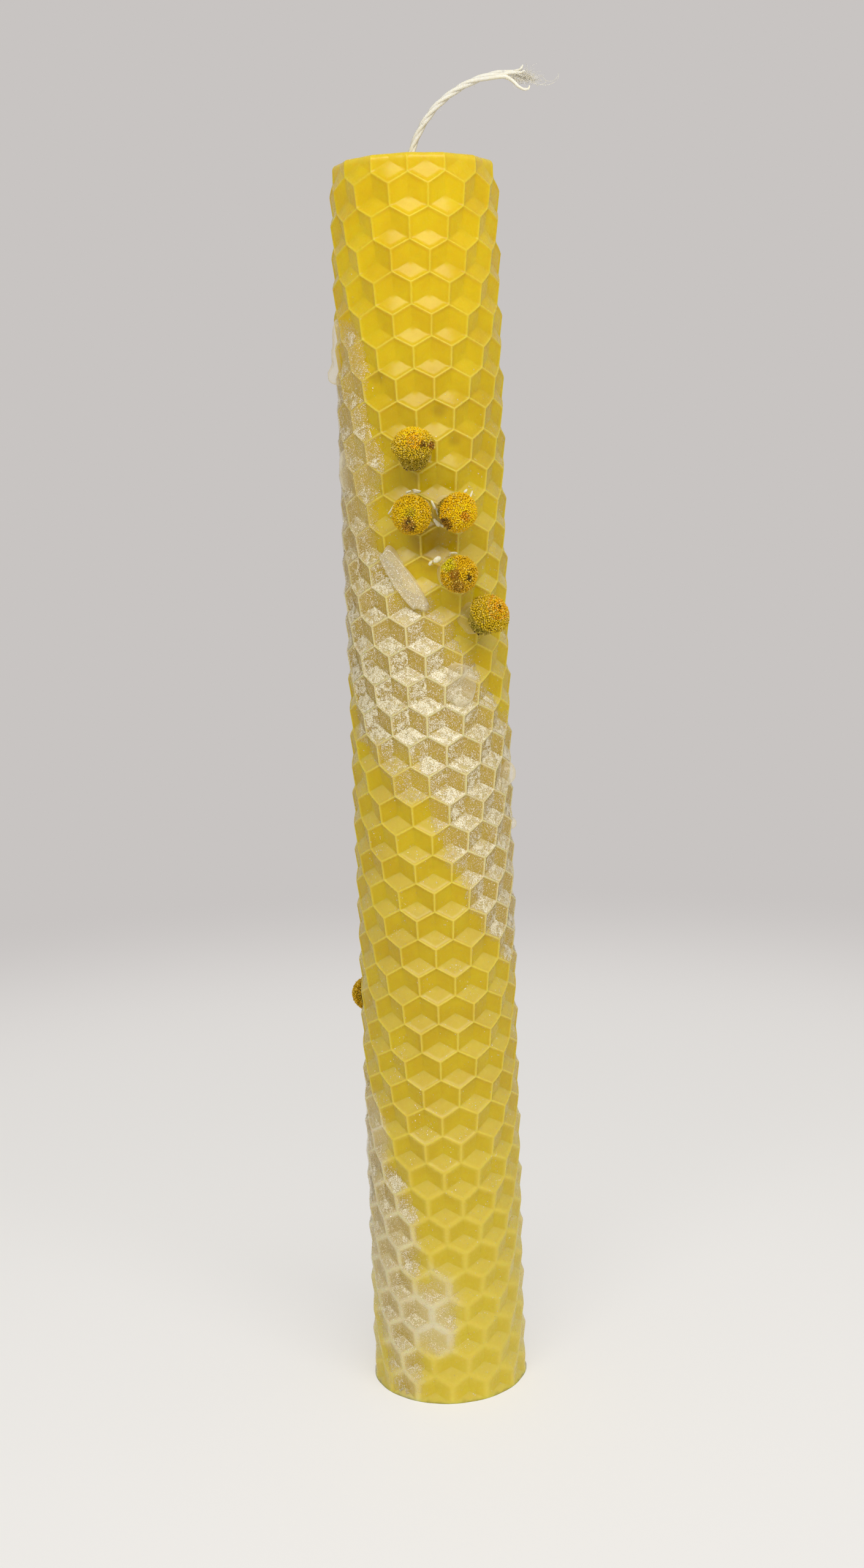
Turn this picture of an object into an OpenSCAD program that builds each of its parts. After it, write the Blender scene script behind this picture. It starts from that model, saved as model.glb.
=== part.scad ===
// Rolled beeswax candle: a comb-embossed wax sheet wound round a cotton wick,
// with dried flower heads, clear glue and a glitter glaze on its outside.
// Angles are taken from the front (-Y) towards +X. The base rests on z = 0.

/* [Candle] */
// Height of the candle, which is the width of its wax sheet
candle_height = 200; // [140:1:260]
// Mean diameter over the comb ridges
candle_diameter = 25; // [20:0.5:40]

/* [Wax sheet] */
// Thickness of the sheet over its ridges
sheet_thickness = 2.1; // [1.7:0.05:3]
// Least air between two turns of the roll
turn_gap = 0.05; // [0.02:0.01:0.3]
// Width of a comb cell, at the mean diameter
cell_width = 5.65; // [4.8:0.05:7]
// Height of a row of comb cells, fitted to whole rows
row_height = 4.65; // [4:0.05:6]
// Depth of the middle of a cell below the ridges
cell_depth = 1.15; // [0.5:0.05:1.3]
// Width of the sloping wall in the deep corners of a cell
wall_slope = 0.35; // [0.15:0.05:0.6]
// Thickness of the sheet's two pressed edges, at the wick and at the seam
edge_thickness = 0.7; // [0.4:0.05:1.4]
// Direction of the seam from the front
seam_angle = 115.5; // [100:0.5:190]

/* [Wick] */
// Diameter of the twisted wick
wick_diameter = 1.2; // [1:0.1:2.5]
// Clearance between the wick and the first turn of wax
wick_clearance = 0.1; // [0.05:0.05:0.4]
// Diameter of the frayed tuft near the wick's tip
fray_diameter = 2.2; // [1.6:0.1:4]

/* [Flower heads] */
// Distance of the highest head below the candle's top
spray_drop = 42.4; // [25:0.2:60]
// Diameter of a middling head
flower_diameter = 6.1; // [4.5:0.1:6.8]
// Height of the dome of florets
dome_height = 2.6; // [1.4:0.1:2.8]
// Depth of the tapered cup under the florets
cup_depth = 3.3; // [1.5:0.1:4.5]
// Diameter of the cut base of the cup
cup_base = 3.7; // [2.5:0.1:3.9]
// Step from the edge of the florets in to the cup
cup_step = 0.3; // [0.1:0.05:0.6]

/* [Glue] */
// Diameter of the dab of glue under a head
dab_diameter = 5.2; // [3.5:0.1:5.6]
// Height of that dab
dab_height = 1.4; // [0.9:0.1:2]
// Glue left between the wax and a head's cup
dab_floor = 0.5; // [0.2:0.05:0.7]
// Clearance between a dab and the head that it holds
dab_clearance = 0.03; // [0.01:0.01:0.1]
// Clearance between the ridges and what lies on them
seat_clearance = 0.05; // [0.02:0.01:0.2]

/* [Glitter glaze] */
// Thickness of the glaze in a comb cell
glaze_thickness = 0.2; // [0.1:0.05:0.3]
// Distance of the glaze band below the top, at the front
glaze_drop = 84; // [60:1:100]
// Fall of the band in a full turn
glaze_pitch = 104; // [90:1:160]
// Width of the band, measured upright
glaze_width = 36; // [15:1:45]

/* [Hidden] */
$fn = 48;
wax_colour = [0.88, 0.74, 0.14];
wick_colour = [0.90, 0.88, 0.80];
floret_colour = [0.84, 0.66, 0.10];
cup_colour = [0.44, 0.42, 0.16];
glue_colour = [0.94, 0.90, 0.76];
glaze_colour = [0.93, 0.88, 0.66];

// The roll: steps of half a cell are counted from the seam back to the core.
half_angle = 180 * cell_width / (PI * candle_diameter);
chord_sag = candle_diameter / 2 * (1 - cos(half_angle / 2));
turn_pitch = sheet_thickness + turn_gap + chord_sag;
step_pitch = turn_pitch * half_angle / 360;
seam_radius = candle_diameter / 2 + turn_pitch / 2 - sheet_thickness;
core_radius = wick_diameter / 2 + wick_clearance;
roll_steps = floor((seam_radius + sheet_thickness - core_radius - edge_thickness) / step_pitch);

// The embossed run goes once round the outside and ends out of sight under the seam.
run_cells = ceil(180 / half_angle) + 1;
run_steps = 2 * run_cells;
rows = round(candle_height / row_height);
level = candle_height / rows / 3;
top_level = 3 * rows;
// Steps over which the seam is pressed down and the relief runs out
press_steps = 2;

// Corners of a cell, anticlockwise: deep corners of three floor rhombs take turns with high ones.
corners = [[0, 2], [-1, 1], [-1, -1], [0, -2], [1, -1], [1, 1]];
wall_share = 1 - wall_slope / (2 * level);
corner_drop = cell_depth * (1 - wall_share / 2);
cut_share = 1 / (1 + wall_share);

// Heads: [mm to the right of the front, mm below the highest, mm added to the diameter,
// degrees tilted up, degrees turned right]
flowers = [
    [-0.4, 0, 0.6, 55, -4],
    [-0.8, 10.2, 0, -4, -5],
    [4.4, 10.1, 0, -7, 5],
    [4.3, 19.4, -0.4, 0, -15],
    [7.9, 25.8, 0.5, 34, 0],
    [-28.7, 93.2, -0.4, 0, 0]
];

// Blobs of glue: [name, mm to the right of the front, mm below the top, length, width, height, slant]
glue_blobs = [
    ["glue_run", -17, 27.8, 11, 2.2, 1.2, 86],
    ["glue_lump", -14.4, 46, 6.6, 3, 0.9, 86],
    ["glue_strip", -2.8, 62.7, 12.4, 2.6, 0.8, -58],
    ["glue_puddle", 5.7, 79.4, 7.6, 5.2, 0.9, 80],
    ["glue_bead", 15.5, 95, 4.4, 2.8, 1.4, 88]
];

// Wick above the candle, then its frayed end: [mm to the right, mm above the top]
wick_bend = [
    [0.4, 2], [1, 3.6], [1.9, 5.2], [3, 6.7], [4.3, 8.1], [5.9, 9.3],
    [7.8, 10.4], [10, 11.4], [12.4, 12.2], [14.9, 12.7], [17.3, 12.9]
];
fray_points = [[18.8, 12.9], [21, 12.6]];
wick_tip = 0.5;
wick_sides = 8;
wick_route = concat(
    [[0, 0, 0], [0, 0, candle_height / 2], [0, 0, candle_height]],
    [for (p = concat(wick_bend, fray_points)) [p[0], 0, candle_height + p[1]]]
);
wick_diameters = concat(
    [for (p = [0 : len(wick_bend) + 2]) wick_diameter],
    [fray_diameter, wick_tip]
);

// Share of a cell's floor under its pool of glaze, and the angles where the band starts and ends
pool_share = 0.74;
glaze_from = -95;
glaze_to = 335;

// Sheet at a step: thin and smooth at the pressed seam, smooth where the embossed run ends,
// and a wedge in its first turn, which is pressed round the wick.
function pressed(step) = min(1, step / press_steps);
function thickness(step) = edge_thickness + (sheet_thickness - edge_thickness) * pressed(step);
function relief(step) = max(0, min(pressed(step), (run_steps - step) / press_steps));
function spiral_radius(step) = seam_radius - step_pitch * step;
function inner_radius(step) = max(core_radius, spiral_radius(step));
function ridge_radius(step) = spiral_radius(step) + thickness(step);

function polar(radius, step, z) =
    let (angle = seam_angle - step * half_angle)
    [radius * sin(angle), -radius * cos(angle), z];
function inner(step, lev) = polar(inner_radius(step), step, lev * level);
function ridge(step, lev) = polar(ridge_radius(step), step, lev * level);
function sunk(step, lev, drop) =
    polar(ridge_radius(step) - drop * relief(step), step, lev * level);

// Points of the cell in the middle of [step, row].
function cell_middle(cell) = sunk(cell[0], 3 * cell[1], cell_depth);
function cell_corner(cell, n) = ridge(cell[0] + corners[n][0], 3 * cell[1] + corners[n][1]);
function cell_foot(cell, n) =
    sunk(cell[0] + wall_share * corners[n][0], 3 * cell[1] + wall_share * corners[n][1], corner_drop);
function cell_floor(cell, n) = n % 2 == 0 ? cell_foot(cell, n) : cell_corner(cell, n);
function wall_middle(cell, side) = ridge(cell[0] + side, 3 * cell[1]);
function cut_point(cell, side) =
    sunk(cell[0] + side * (1 - cut_share * (1 - wall_share)), 3 * cell[1], corner_drop * cut_share);

// One sixth of a cell, from corner n to the next: a piece of floor and a piece of wall.
function sixth(cell, n) =
    let (m = (n + 1) % 6, deep = n % 2 == 0 ? n : m)
    [
        [cell_middle(cell), cell_floor(cell, n), cell_floor(cell, m)],
        [cell_foot(cell, deep), cell_corner(cell, n), cell_corner(cell, m)]
    ];
function flip(triangle) = [triangle[0], triangle[2], triangle[1]];
function turned(triangles, side) = side > 0 ? triangles : [for (t = triangles) flip(t)];

// The sixths beside an upright wall, halved at the top or the base of the sheet.
function upper_side(cell, side) =
    let (high = cell_corner(cell, side > 0 ? 5 : 1), cut = cut_point(cell, side))
    turned([[cell_middle(cell), cut, high], [cut, wall_middle(cell, side), high]], side);
function lower_side(cell, side) =
    let (
        n = side > 0 ? 4 : 2,
        foot = cell_foot(cell, n),
        cut = cut_point(cell, side),
        wall = wall_middle(cell, side)
    )
    turned([[cell_middle(cell), foot, cut], [foot, cell_corner(cell, n), wall], [foot, wall, cut]], side);

function inside_run(cell, side) = cell[0] + side >= 0 && cell[0] + side <= run_steps;
function half_cell(cell, side) =
    let (
        upper = side > 0 ? 5 : 0,
        middle = side > 0 ? 4 : 1,
        lower = side > 0 ? 3 : 2
    )
    concat(
        cell[1] < rows ? sixth(cell, upper) : [],
        cell[1] == 0 ? upper_side(cell, side)
            : cell[1] == rows ? lower_side(cell, side) : sixth(cell, middle),
        cell[1] > 0 ? sixth(cell, lower) : []
    );
comb_cells = [
    for (row = [0 : rows], step = [(row + 1) % 2 : 2 : run_steps]) [step, row]
];
function comb() = [
    for (cell = comb_cells, side = [-1, 1])
        if (inside_run(cell, side)) each half_cell(cell, side)
];

// Levels of the comb's points along either end of the embossed run.
run_end_levels = concat(
    [0],
    [for (row = [1 : 2 : rows - 1]) each [3 * row - 2, 3 * row, 3 * row + 2 * wall_share, 3 * row + 2]],
    rows % 2 == 1 ? [top_level - 2, top_level] : [top_level]
);

// Edge of the sheet at its base or top: the comb's outline over half a cell, and the rim inside it.
function rim_outline(step, row) =
    (step + row) % 2 == 1
        ? [cell_middle([step, row]), cut_point([step, row], 1), ridge(step + 1, 3 * row)]
        : [ridge(step, 3 * row), cut_point([step + 1, row], -1), cell_middle([step + 1, row])];
function plain_outline(step, row) = [ridge(step, 3 * row), ridge(step + 1, 3 * row)];
function rim(step, row) =
    let (
        outline = step < run_steps ? rim_outline(step, row) : plain_outline(step, row),
        here = inner(step, 3 * row),
        path = concat(outline, [inner(step + 1, 3 * row)]),
        fan = [for (n = [0 : len(path) - 2]) [here, path[n], path[n + 1]]]
    )
    row > 0 ? fan : [for (t = fan) flip(t)];

function strip(a, b, c, d) = [[a, b, c], [a, c, d]];
function inner_face() = [
    for (s = [0 : roll_steps - 1])
        each strip(inner(s, 0), inner(s, top_level), inner(s + 1, top_level), inner(s + 1, 0))
];
function plain_face() = [
    for (s = [run_steps + 1 : roll_steps - 1])
        each strip(ridge(s, 0), ridge(s + 1, 0), ridge(s + 1, top_level), ridge(s, top_level))
];
function run_end_face() =
    let (low = ridge(run_steps + 1, 0), last = len(run_end_levels) - 1)
    concat(
        [for (n = [0 : last - 1])
            [ridge(run_steps, run_end_levels[n]), low, ridge(run_steps, run_end_levels[n + 1])]],
        [[ridge(run_steps, top_level), low, ridge(run_steps + 1, top_level)]]
    );
function seam_face() =
    let (low = inner(0, 0), last = len(run_end_levels) - 1)
    concat(
        [for (n = [0 : last - 1]) [low, ridge(0, run_end_levels[n]), ridge(0, run_end_levels[n + 1])]],
        [[low, ridge(0, top_level), inner(0, top_level)]]
    );
function core_face() =
    let (s = roll_steps)
    strip(inner(s, 0), inner(s, top_level), ridge(s, top_level), ridge(s, 0));

module skin(triangles) {
    polyhedron(
        points = [for (t = triangles) each t],
        faces = [for (n = [0 : len(triangles) - 1]) [3 * n, 3 * n + 1, 3 * n + 2]],
        convexity = 12
    );
}

module wax_sheet() {
    rims = [for (s = [0 : roll_steps - 1], row = [0, rows]) each rim(s, row)];
    color(wax_colour)
        skin(concat(comb(), rims, inner_face(), plain_face(), run_end_face(), seam_face(), core_face()));
}

// The wick is swept along its route, which bends in the plane y = 0.
function unit(v) = v / norm(v);
function route_way(n) =
    unit(wick_route[min(n + 1, len(wick_route) - 1)] - wick_route[max(n - 1, 0)]);
function wick_point(n, side) =
    let (way = route_way(n), angle = 360 * side / wick_sides)
    wick_route[n] + wick_diameters[n] / 2 * (cos(angle) * [way[2], 0, -way[0]] + sin(angle) * [0, 1, 0]);

module wick() {
    last = len(wick_route) - 1;
    sides = [for (n = [0 : last - 1], s = [0 : wick_sides - 1])
        each strip(wick_point(n, s), wick_point(n + 1, s), wick_point(n + 1, s + 1), wick_point(n, s + 1))];
    ends = [for (s = [1 : wick_sides - 2])
        each [
            [wick_point(0, 0), wick_point(0, s), wick_point(0, s + 1)],
            [wick_point(last, 0), wick_point(last, s + 1), wick_point(last, s)]
        ]];
    color(wick_colour) skin(concat(sides, ends));
}

// What lies on the ridges is placed by its angle and height.
function surface_step(angle) = ((seam_angle - angle) % 360 + 360) % 360 / half_angle;
function across(distance) = distance * 360 / (PI * candle_diameter);
module on_ridges(distance, below, lift = 0) {
    angle = across(distance);
    radius = ridge_radius(surface_step(angle)) + seat_clearance + lift;
    rotate([0, 0, angle])
        translate([0, -radius, candle_height - below])
            rotate([90, 0, 0]) children();
}

function dome_radius(width, height) = (height * height + width * width / 4) / (2 * height);
module above_plane(radius, height) {
    intersection() {
        children();
        translate([-2 * radius, -2 * radius, 0]) cube([4 * radius, 4 * radius, 2 * height]);
    }
}
module cap(width, height) {
    radius = dome_radius(width, height);
    above_plane(radius + width, height)
        translate([0, 0, height - radius]) sphere(radius);
}
module mound(length, width, height) {
    radius = dome_radius(width, height);
    reach = (length - width) / 2;
    above_plane(radius + length, height)
        translate([0, 0, height - radius]) {
            rotate([0, 90, 0]) cylinder(r = radius, h = 2 * reach, center = true);
            for (end = [-reach, reach]) translate([end, 0, 0]) sphere(radius);
        }
}

// A head leans on its cup, so a tilted head stands further out.
function head_diameter(flower) = flower_diameter + flower[2];
function cup_radius(flower) = head_diameter(flower) / 2 - cup_step;
function lean(flower) = acos(cos(flower[3]) * cos(flower[4]));
function head_reach(flower) =
    max(cup_depth * cos(lean(flower)) + cup_base / 2 * sin(lean(flower)),
        head_diameter(flower) / 2 * sin(lean(flower)));

// The dab lies under the middle of the leaning cup.
function dab_across(flower) = -cup_depth / 2 * cos(flower[3]) * sin(flower[4]);
function dab_up(flower) = -cup_depth / 2 * sin(flower[3]);

module taper(flower, spare = 0) {
    translate([0, 0, -cup_depth - spare])
        cylinder(r1 = cup_base / 2 + spare, r2 = cup_radius(flower) + spare, h = cup_depth + spare);
}
module at_head(flower) {
    on_ridges(flower[0], spray_drop + flower[1], dab_floor + head_reach(flower))
        rotate([-flower[3], flower[4], 0]) children();
}
module flower_disc(n) {
    flower = flowers[n - 1];
    color(floret_colour) at_head(flower) cap(head_diameter(flower), dome_height);
}
module flower_cup(n) {
    flower = flowers[n - 1];
    color(cup_colour) at_head(flower) taper(flower);
}
module glue_dab(n) {
    flower = flowers[n - 1];
    color(glue_colour)
        difference() {
            on_ridges(flower[0] + dab_across(flower), spray_drop + flower[1] - dab_up(flower))
                cap(dab_diameter, dab_height);
            at_head(flower) {
                taper(flower, dab_clearance);
                translate([0, 0, -dab_clearance])
                    cap(head_diameter(flower) + 2 * dab_clearance, dome_height + 2 * dab_clearance);
            }
        }
}
module glue_blob(blob) {
    color(glue_colour)
        on_ridges(blob[1], blob[2])
            rotate([0, 0, blob[6]]) mound(blob[3], blob[4], blob[5]);
}

// The glaze is a shallow pool on the floor of each cell that the band crosses.
function band_height(angle) = candle_height - glaze_drop - glaze_pitch * angle / 360;
function in_band(angle, z) =
    angle > glaze_from && angle < glaze_to && abs(z - band_height(angle)) < glaze_width / 2;
function glazed(cell) =
    let (angle = seam_angle - cell[0] * half_angle, z = 3 * cell[1] * level)
    cell[0] > press_steps && cell[0] * half_angle < 360 && cell[1] > 0 && cell[1] < rows
        && (in_band(angle, z) || in_band(angle + 360, z));
function pool(cell) =
    let (
        middle = cell_middle(cell),
        rise = glaze_thickness * unit([middle[0], middle[1], 0]),
        edge = [for (n = [0 : 5]) middle + pool_share * (cell_floor(cell, n) - middle)]
    )
    [for (n = [0 : 5])
        let (m = (n + 1) % 6)
        each concat(
            [[middle + rise, edge[n] + rise, edge[m] + rise], [middle, edge[m], edge[n]]],
            strip(edge[n], edge[m], edge[m] + rise, edge[n] + rise)
        )];
module glitter_glaze() {
    color(glaze_colour)
        for (cell = comb_cells) if (glazed(cell)) skin(pool(cell));
}

wax_sheet();
wick();
glitter_glaze();
for (n = [1 : len(flowers)]) {
    flower_disc(n);
    flower_cup(n);
    glue_dab(n);
}
for (blob = glue_blobs) {
    glue_blob(blob);
}
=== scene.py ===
import math
import random

import bmesh
import bpy
import numpy as np
from mathutils import Matrix, Vector


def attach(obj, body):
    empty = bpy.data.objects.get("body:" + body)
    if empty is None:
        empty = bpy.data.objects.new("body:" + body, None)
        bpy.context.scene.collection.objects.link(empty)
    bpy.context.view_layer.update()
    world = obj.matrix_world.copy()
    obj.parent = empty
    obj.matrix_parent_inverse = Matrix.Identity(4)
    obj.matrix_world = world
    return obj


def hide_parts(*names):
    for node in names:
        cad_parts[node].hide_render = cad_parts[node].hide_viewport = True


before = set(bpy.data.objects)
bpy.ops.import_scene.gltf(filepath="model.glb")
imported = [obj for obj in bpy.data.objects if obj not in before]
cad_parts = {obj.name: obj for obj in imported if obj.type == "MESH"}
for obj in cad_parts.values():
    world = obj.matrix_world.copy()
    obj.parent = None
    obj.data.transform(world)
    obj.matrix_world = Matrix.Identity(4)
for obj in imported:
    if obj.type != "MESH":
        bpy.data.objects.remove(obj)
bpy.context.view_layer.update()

# Looks of a rolled beeswax candle with dried flower heads, clear glue and a glitter glaze.
# Lengths are in millimetres and angles in degrees, taken from the front (-Y) towards +X.
MM = 0.001
ROOT = "root"
GOLDEN_ANGLE = 137.508

# Roll of wax, with the same driving sizes as the solids
CANDLE_HEIGHT = 200.0
CANDLE_DIAMETER = 25.0
SHEET_THICKNESS = 2.1
TURN_GAP = 0.05
CELL_WIDTH = 5.65
SEAM_ANGLE = 115.5
EDGE_THICKNESS = 0.7
PRESS_STEPS = 2.0
WICK_DIAMETER = 1.2
WICK_CLEARANCE = 0.1
CORE_RADIUS = WICK_DIAMETER / 2 + WICK_CLEARANCE
HALF_ANGLE = 180.0 * CELL_WIDTH / (math.pi * CANDLE_DIAMETER)
CHORD_SAG = CANDLE_DIAMETER / 2 * (1 - math.cos(math.radians(HALF_ANGLE / 2)))
TURN_PITCH = SHEET_THICKNESS + TURN_GAP + CHORD_SAG
STEP_PITCH = TURN_PITCH * HALF_ANGLE / 360
SEAM_RADIUS = CANDLE_DIAMETER / 2 + TURN_PITCH / 2 - SHEET_THICKNESS
ROLL_STEPS = math.floor((SEAM_RADIUS + SHEET_THICKNESS - CORE_RADIUS - EDGE_THICKNESS) / STEP_PITCH)
RUN_STEPS = 2 * (math.ceil(180 / HALF_ANGLE) + 1)

# Comb cells: depths of the floor at the middle, the deep and the high corners, and the ridges' fall
MIDDLE_DROP = 1.12
HIGH_DROP = 0.1
DEEP_DROP = (MIDDLE_DROP + HIGH_DROP) / 2
CREST_FALL = 0.42
# A cell's corners as [steps, levels], points along its edges and out to them, where its ridges begin and
# end, how much its depth varies, and how low and how much the comb is worn
CORNERS = ((0, 2), (-1, 1), (-1, -1), (0, -2), (1, -1), (1, 1))
EDGE_STOPS = (0.0, 0.1, 0.5, 0.8)
RINGS = (0.4, 0.74, 0.9, 0.942, 0.972, 1.0)
FOOT_SHARE = 0.905
CREST_SHARE = 0.985
CELL_DEPTHS = (0.92, 1.06)
WORN_HEIGHTS = (12.0, 60.0)
WORN_SHARE = 0.3

# Rows as photographed: their height, how far the highest whole middle lies below the top, and their number
ROW_HEIGHT = 4.7
TOP_ROW_DROP = 1.1
LATTICE_ROWS = 44

# How the sheet departs from a true roll: at its top and base, in its swell, twist and sway, and at its rim
TOP_TAPER = 0.55
TAPER_LENGTH = 5.0
TOP_SHALLOW = 0.45
BASE_FLARE = 0.45
FLARE_LENGTH = 1.2
SHEET_SWELL = 0.3
SHEET_UNEVEN = 0.07
BASE_TWIST = 5.0
SHEET_SWAY = 0.35
SEAM_HOLD = 6.0
RIM_ROUND = 0.9
RIM_CUTS = (1.0, 0.7, 0.45, 0.25, 0.12, 0.04)
TOP_SLANT = 0.45
SLANT_LENGTH = 6.0

# Glitter band, which winds down to the right: its middle at the front, fall in a turn, half width and ends,
# then how soft its sides and ends are, and how far its sides wave
BAND_DROP = 84.0
BAND_FALL = 104.0
BAND_HALF = 17.0
BAND_FROM = -95.0
BAND_TO = 335.0
BAND_SIDE = (0.65, 1.35)
FADE_INSIDE = 5.0
FADE_PAST = 15.0
LONG_WAVE = 0.2
SHORT_WAVE = 0.1


def smooth(low, high, value):
    """0 below low and 1 above high, with a smooth step between."""
    share = np.clip((np.asarray(value, float) - low) / (high - low), 0, 1)
    return share * share * (3 - 2 * share)


def wobble(angle, z, seed, turns=3, length=40.0):
    """A smooth wave over the candle's outside, about -1 to 1, that closes round the turn."""
    draw = random.Random(seed)
    total = 0
    for _ in range(5):
        around = draw.randint(-turns, turns)
        along = draw.uniform(-1, 1) * 2 * math.pi / length
        total = total + np.sin(np.radians(angle) * around + np.asarray(z) * along + draw.uniform(0, 6.3))
    return total / 2.5


def pressed(step):
    """How far the sheet has its full thickness, from 0 at the pressed seam to 1."""
    return np.minimum(1, np.asarray(step, float) / PRESS_STEPS)


def relief(step):
    """How far the comb shows, from 0 at both ends of the embossed run to 1."""
    return np.clip(np.minimum(pressed(step), (RUN_STEPS - np.asarray(step, float)) / PRESS_STEPS), 0, 1)


def spiral_radius(step):
    """Inner radius of the sheet, so many steps in from the seam."""
    return SEAM_RADIUS - STEP_PITCH * np.asarray(step, float)


def ridge_radius(step):
    """Outer radius of the sheet, so many steps in from the seam."""
    thickness = EDGE_THICKNESS + (SHEET_THICKNESS - EDGE_THICKNESS) * pressed(step)
    return spiral_radius(step) + thickness


def outside_radius(angle):
    """Outer radius of the candle at an angle."""
    return ridge_radius(np.mod(SEAM_ANGLE - angle, 360) / HALF_ANGLE)


def angle_of(right):
    """The angle of a place so many millimetres to the right of the front."""
    return right * 360 / (math.pi * CANDLE_DIAMETER)


def polar(radius, angle, z):
    """Points at a radius, an angle and a height."""
    turn = np.radians(angle)
    return np.stack([radius * np.sin(turn), -radius * np.cos(turn), z + 0 * turn], axis=-1)


def on_wax(angle, below, out=0.0):
    """A place on the outside at an angle, so far below the top and out from the wax."""
    return polar(float(outside_radius(angle)) + out, angle, CANDLE_HEIGHT - below)


def unit(ways):
    """The directions, each one unit long."""
    return ways / np.linalg.norm(ways, axis=1, keepdims=True)


def away(points):
    """Level directions from the candle's axis to the points."""
    return unit(points * [1, 1, 0])


def unrolled(points):
    """Angles of the points from the front, and their heights."""
    return np.degrees(np.arctan2(points[:, 0], -points[:, 1])), points[:, 2]


def band_share(angle, z):
    """How far inside the glitter band a place on the outside is, from 0 to 1."""
    angle = np.mod(np.asarray(angle, float) + 180, 360) - 180
    waves = LONG_WAVE * wobble(angle, z, 11, 5, 22) + SHORT_WAVE * wobble(angle, z, 12, 9, 9)
    best = 0
    for turn in (0, 360):
        along = angle + turn
        middle = CANDLE_HEIGHT - BAND_DROP - BAND_FALL * along / 360
        inside = 1 - smooth(*BAND_SIDE, np.abs(z - middle) / BAND_HALF + waves)
        begun = smooth(BAND_FROM - FADE_PAST, BAND_FROM + FADE_INSIDE, along)
        ended = smooth(BAND_TO - FADE_INSIDE, BAND_TO + FADE_PAST, along)
        best = np.maximum(best, inside * begun * (1 - ended))
    return best


# Pools of glue beside the band, clear and milky: an angle, a height and two half widths,
# then how soft their edges are, and how far these wave
CLEAR_POOLS = ((-66.0, 153.0, 42.0, 22.0),)
MILKY_POOLS = ((-68.0, 40.0, 24.0, 12.0), (-52.0, 26.0, 30.0, 10.0), (-30.0, 16.0, 36.0, 8.0))
POOL_EDGE = (0.4, 1.3)
POOL_WAVE = 0.25


def pool_share(angle, z, pools=CLEAR_POOLS + MILKY_POOLS):
    """How far inside a pool of glue a place on the outside is, from 0 to 1."""
    waves = POOL_WAVE * wobble(angle, z, 31, 8, 9)
    best = 0
    for middle, height, wide, tall in pools:
        far = np.hypot((angle - middle) / wide, (z - height) / tall)
        best = np.maximum(best, 1 - smooth(*POOL_EDGE, far + waves))
    return best


def new_object(name, data):
    """Puts an object into the scene."""
    thing = bpy.data.objects.new(name, data)
    bpy.context.scene.collection.objects.link(thing)
    return thing


def add_piece(name, points, faces, material, slot, replaced=(), shading=True, values=None, outward=False,
              face_values=None):
    """Makes a mesh piece from points in millimetres and rides it on the candle; the slot is not used."""
    mesh = bpy.data.meshes.new(name)
    mesh.from_pydata((np.asarray(points, float) * MM).tolist(), [], faces)
    if outward:
        shell = bmesh.new()
        shell.from_mesh(mesh)
        bmesh.ops.recalc_face_normals(shell, faces=shell.faces[:])
        shell.to_mesh(mesh)
        shell.free()
    mesh.polygons.foreach_set("use_smooth", [shading] * len(mesh.polygons))
    for domain, table in (("POINT", values or {}), ("FACE", face_values or {})):
        for key, numbers in table.items():
            numbers = np.asarray(numbers, float)
            kind, field = ("FLOAT_COLOR", "color") if numbers.ndim == 2 else ("FLOAT", "value")
            mesh.attributes.new(key, kind, domain).data.foreach_set(field, numbers.ravel())
    mesh.update()
    mesh.materials.append(material)
    piece = new_object(name, mesh)
    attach(piece, ROOT)
    if replaced:
        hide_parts(*replaced)


class Pile:
    """Points, faces and colours of many shells that make up one piece."""

    def __init__(self):
        self.points = []
        self.faces = []
        self.shades = []

    def put(self, points, faces, shades=None):
        start = len(self.points)
        self.points.extend(np.asarray(points, float).tolist())
        self.faces.extend([tuple(start + n for n in face) for face in faces])
        if shades is not None:
            self.shades.extend(np.asarray(shades, float).tolist())

    def piece(self, name, material, slot, replaced=()):
        values = {"shade": self.shades} if self.shades else None
        add_piece(name, self.points, self.faces, material, slot, replaced, values=values, outward=True)


def ring_faces(rings, sides):
    """Faces between closed rings of points that follow one another."""
    faces = []
    for low in range(0, (rings - 1) * sides, sides):
        for side in range(sides):
            following = (side + 1) % sides
            faces.append((low + side, low + following, low + sides + following, low + sides + side))
    return faces


def closed_faces(rings, sides):
    """Faces between the rings, and over the first and the last ring."""
    last = (rings - 1) * sides
    return ring_faces(rings, sides) + [tuple(reversed(range(sides))), tuple(range(last, last + sides))]


def circle(radius, height, sides):
    """Points on a level circle."""
    turn = 2 * math.pi * np.arange(sides) / sides
    return np.stack([radius * np.cos(turn), radius * np.sin(turn), np.full(sides, height)], axis=1)


def lathe(profile, sides):
    """A closed turned shell through radii and heights, from one end on the axis to the other."""
    points = np.concatenate([circle(radius, height, sides) for radius, height in profile])
    return points, closed_faces(len(profile), sides)


def frames(normals, spins):
    """Three axes on each normal, the normal last, turned round it by the spins."""
    normals = unit(normals)
    helper = np.where(np.abs(normals[:, 2:3]) < 0.9, [[0.0, 0.0, 1.0]], [[1.0, 0.0, 0.0]])
    first = unit(np.cross(helper, normals))
    second = np.cross(normals, first)
    turn = np.radians(spins)[:, None]
    return np.stack([first * np.cos(turn) + second * np.sin(turn),
                     second * np.cos(turn) - first * np.sin(turn), normals], axis=1)


def scatter(shape, faces, places, axes, sizes):
    """Copies of a small shell on many places."""
    local = np.asarray(shape, float)[None] * np.asarray(sizes, float)[:, None, :]
    points = places[:, None, :] + np.einsum("nkj,njc->nkc", local, axes)
    count = len(shape)
    copies = [tuple(start + n for n in face)
              for start in range(0, count * len(places), count) for face in faces]
    return points.reshape(-1, 3), copies


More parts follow.
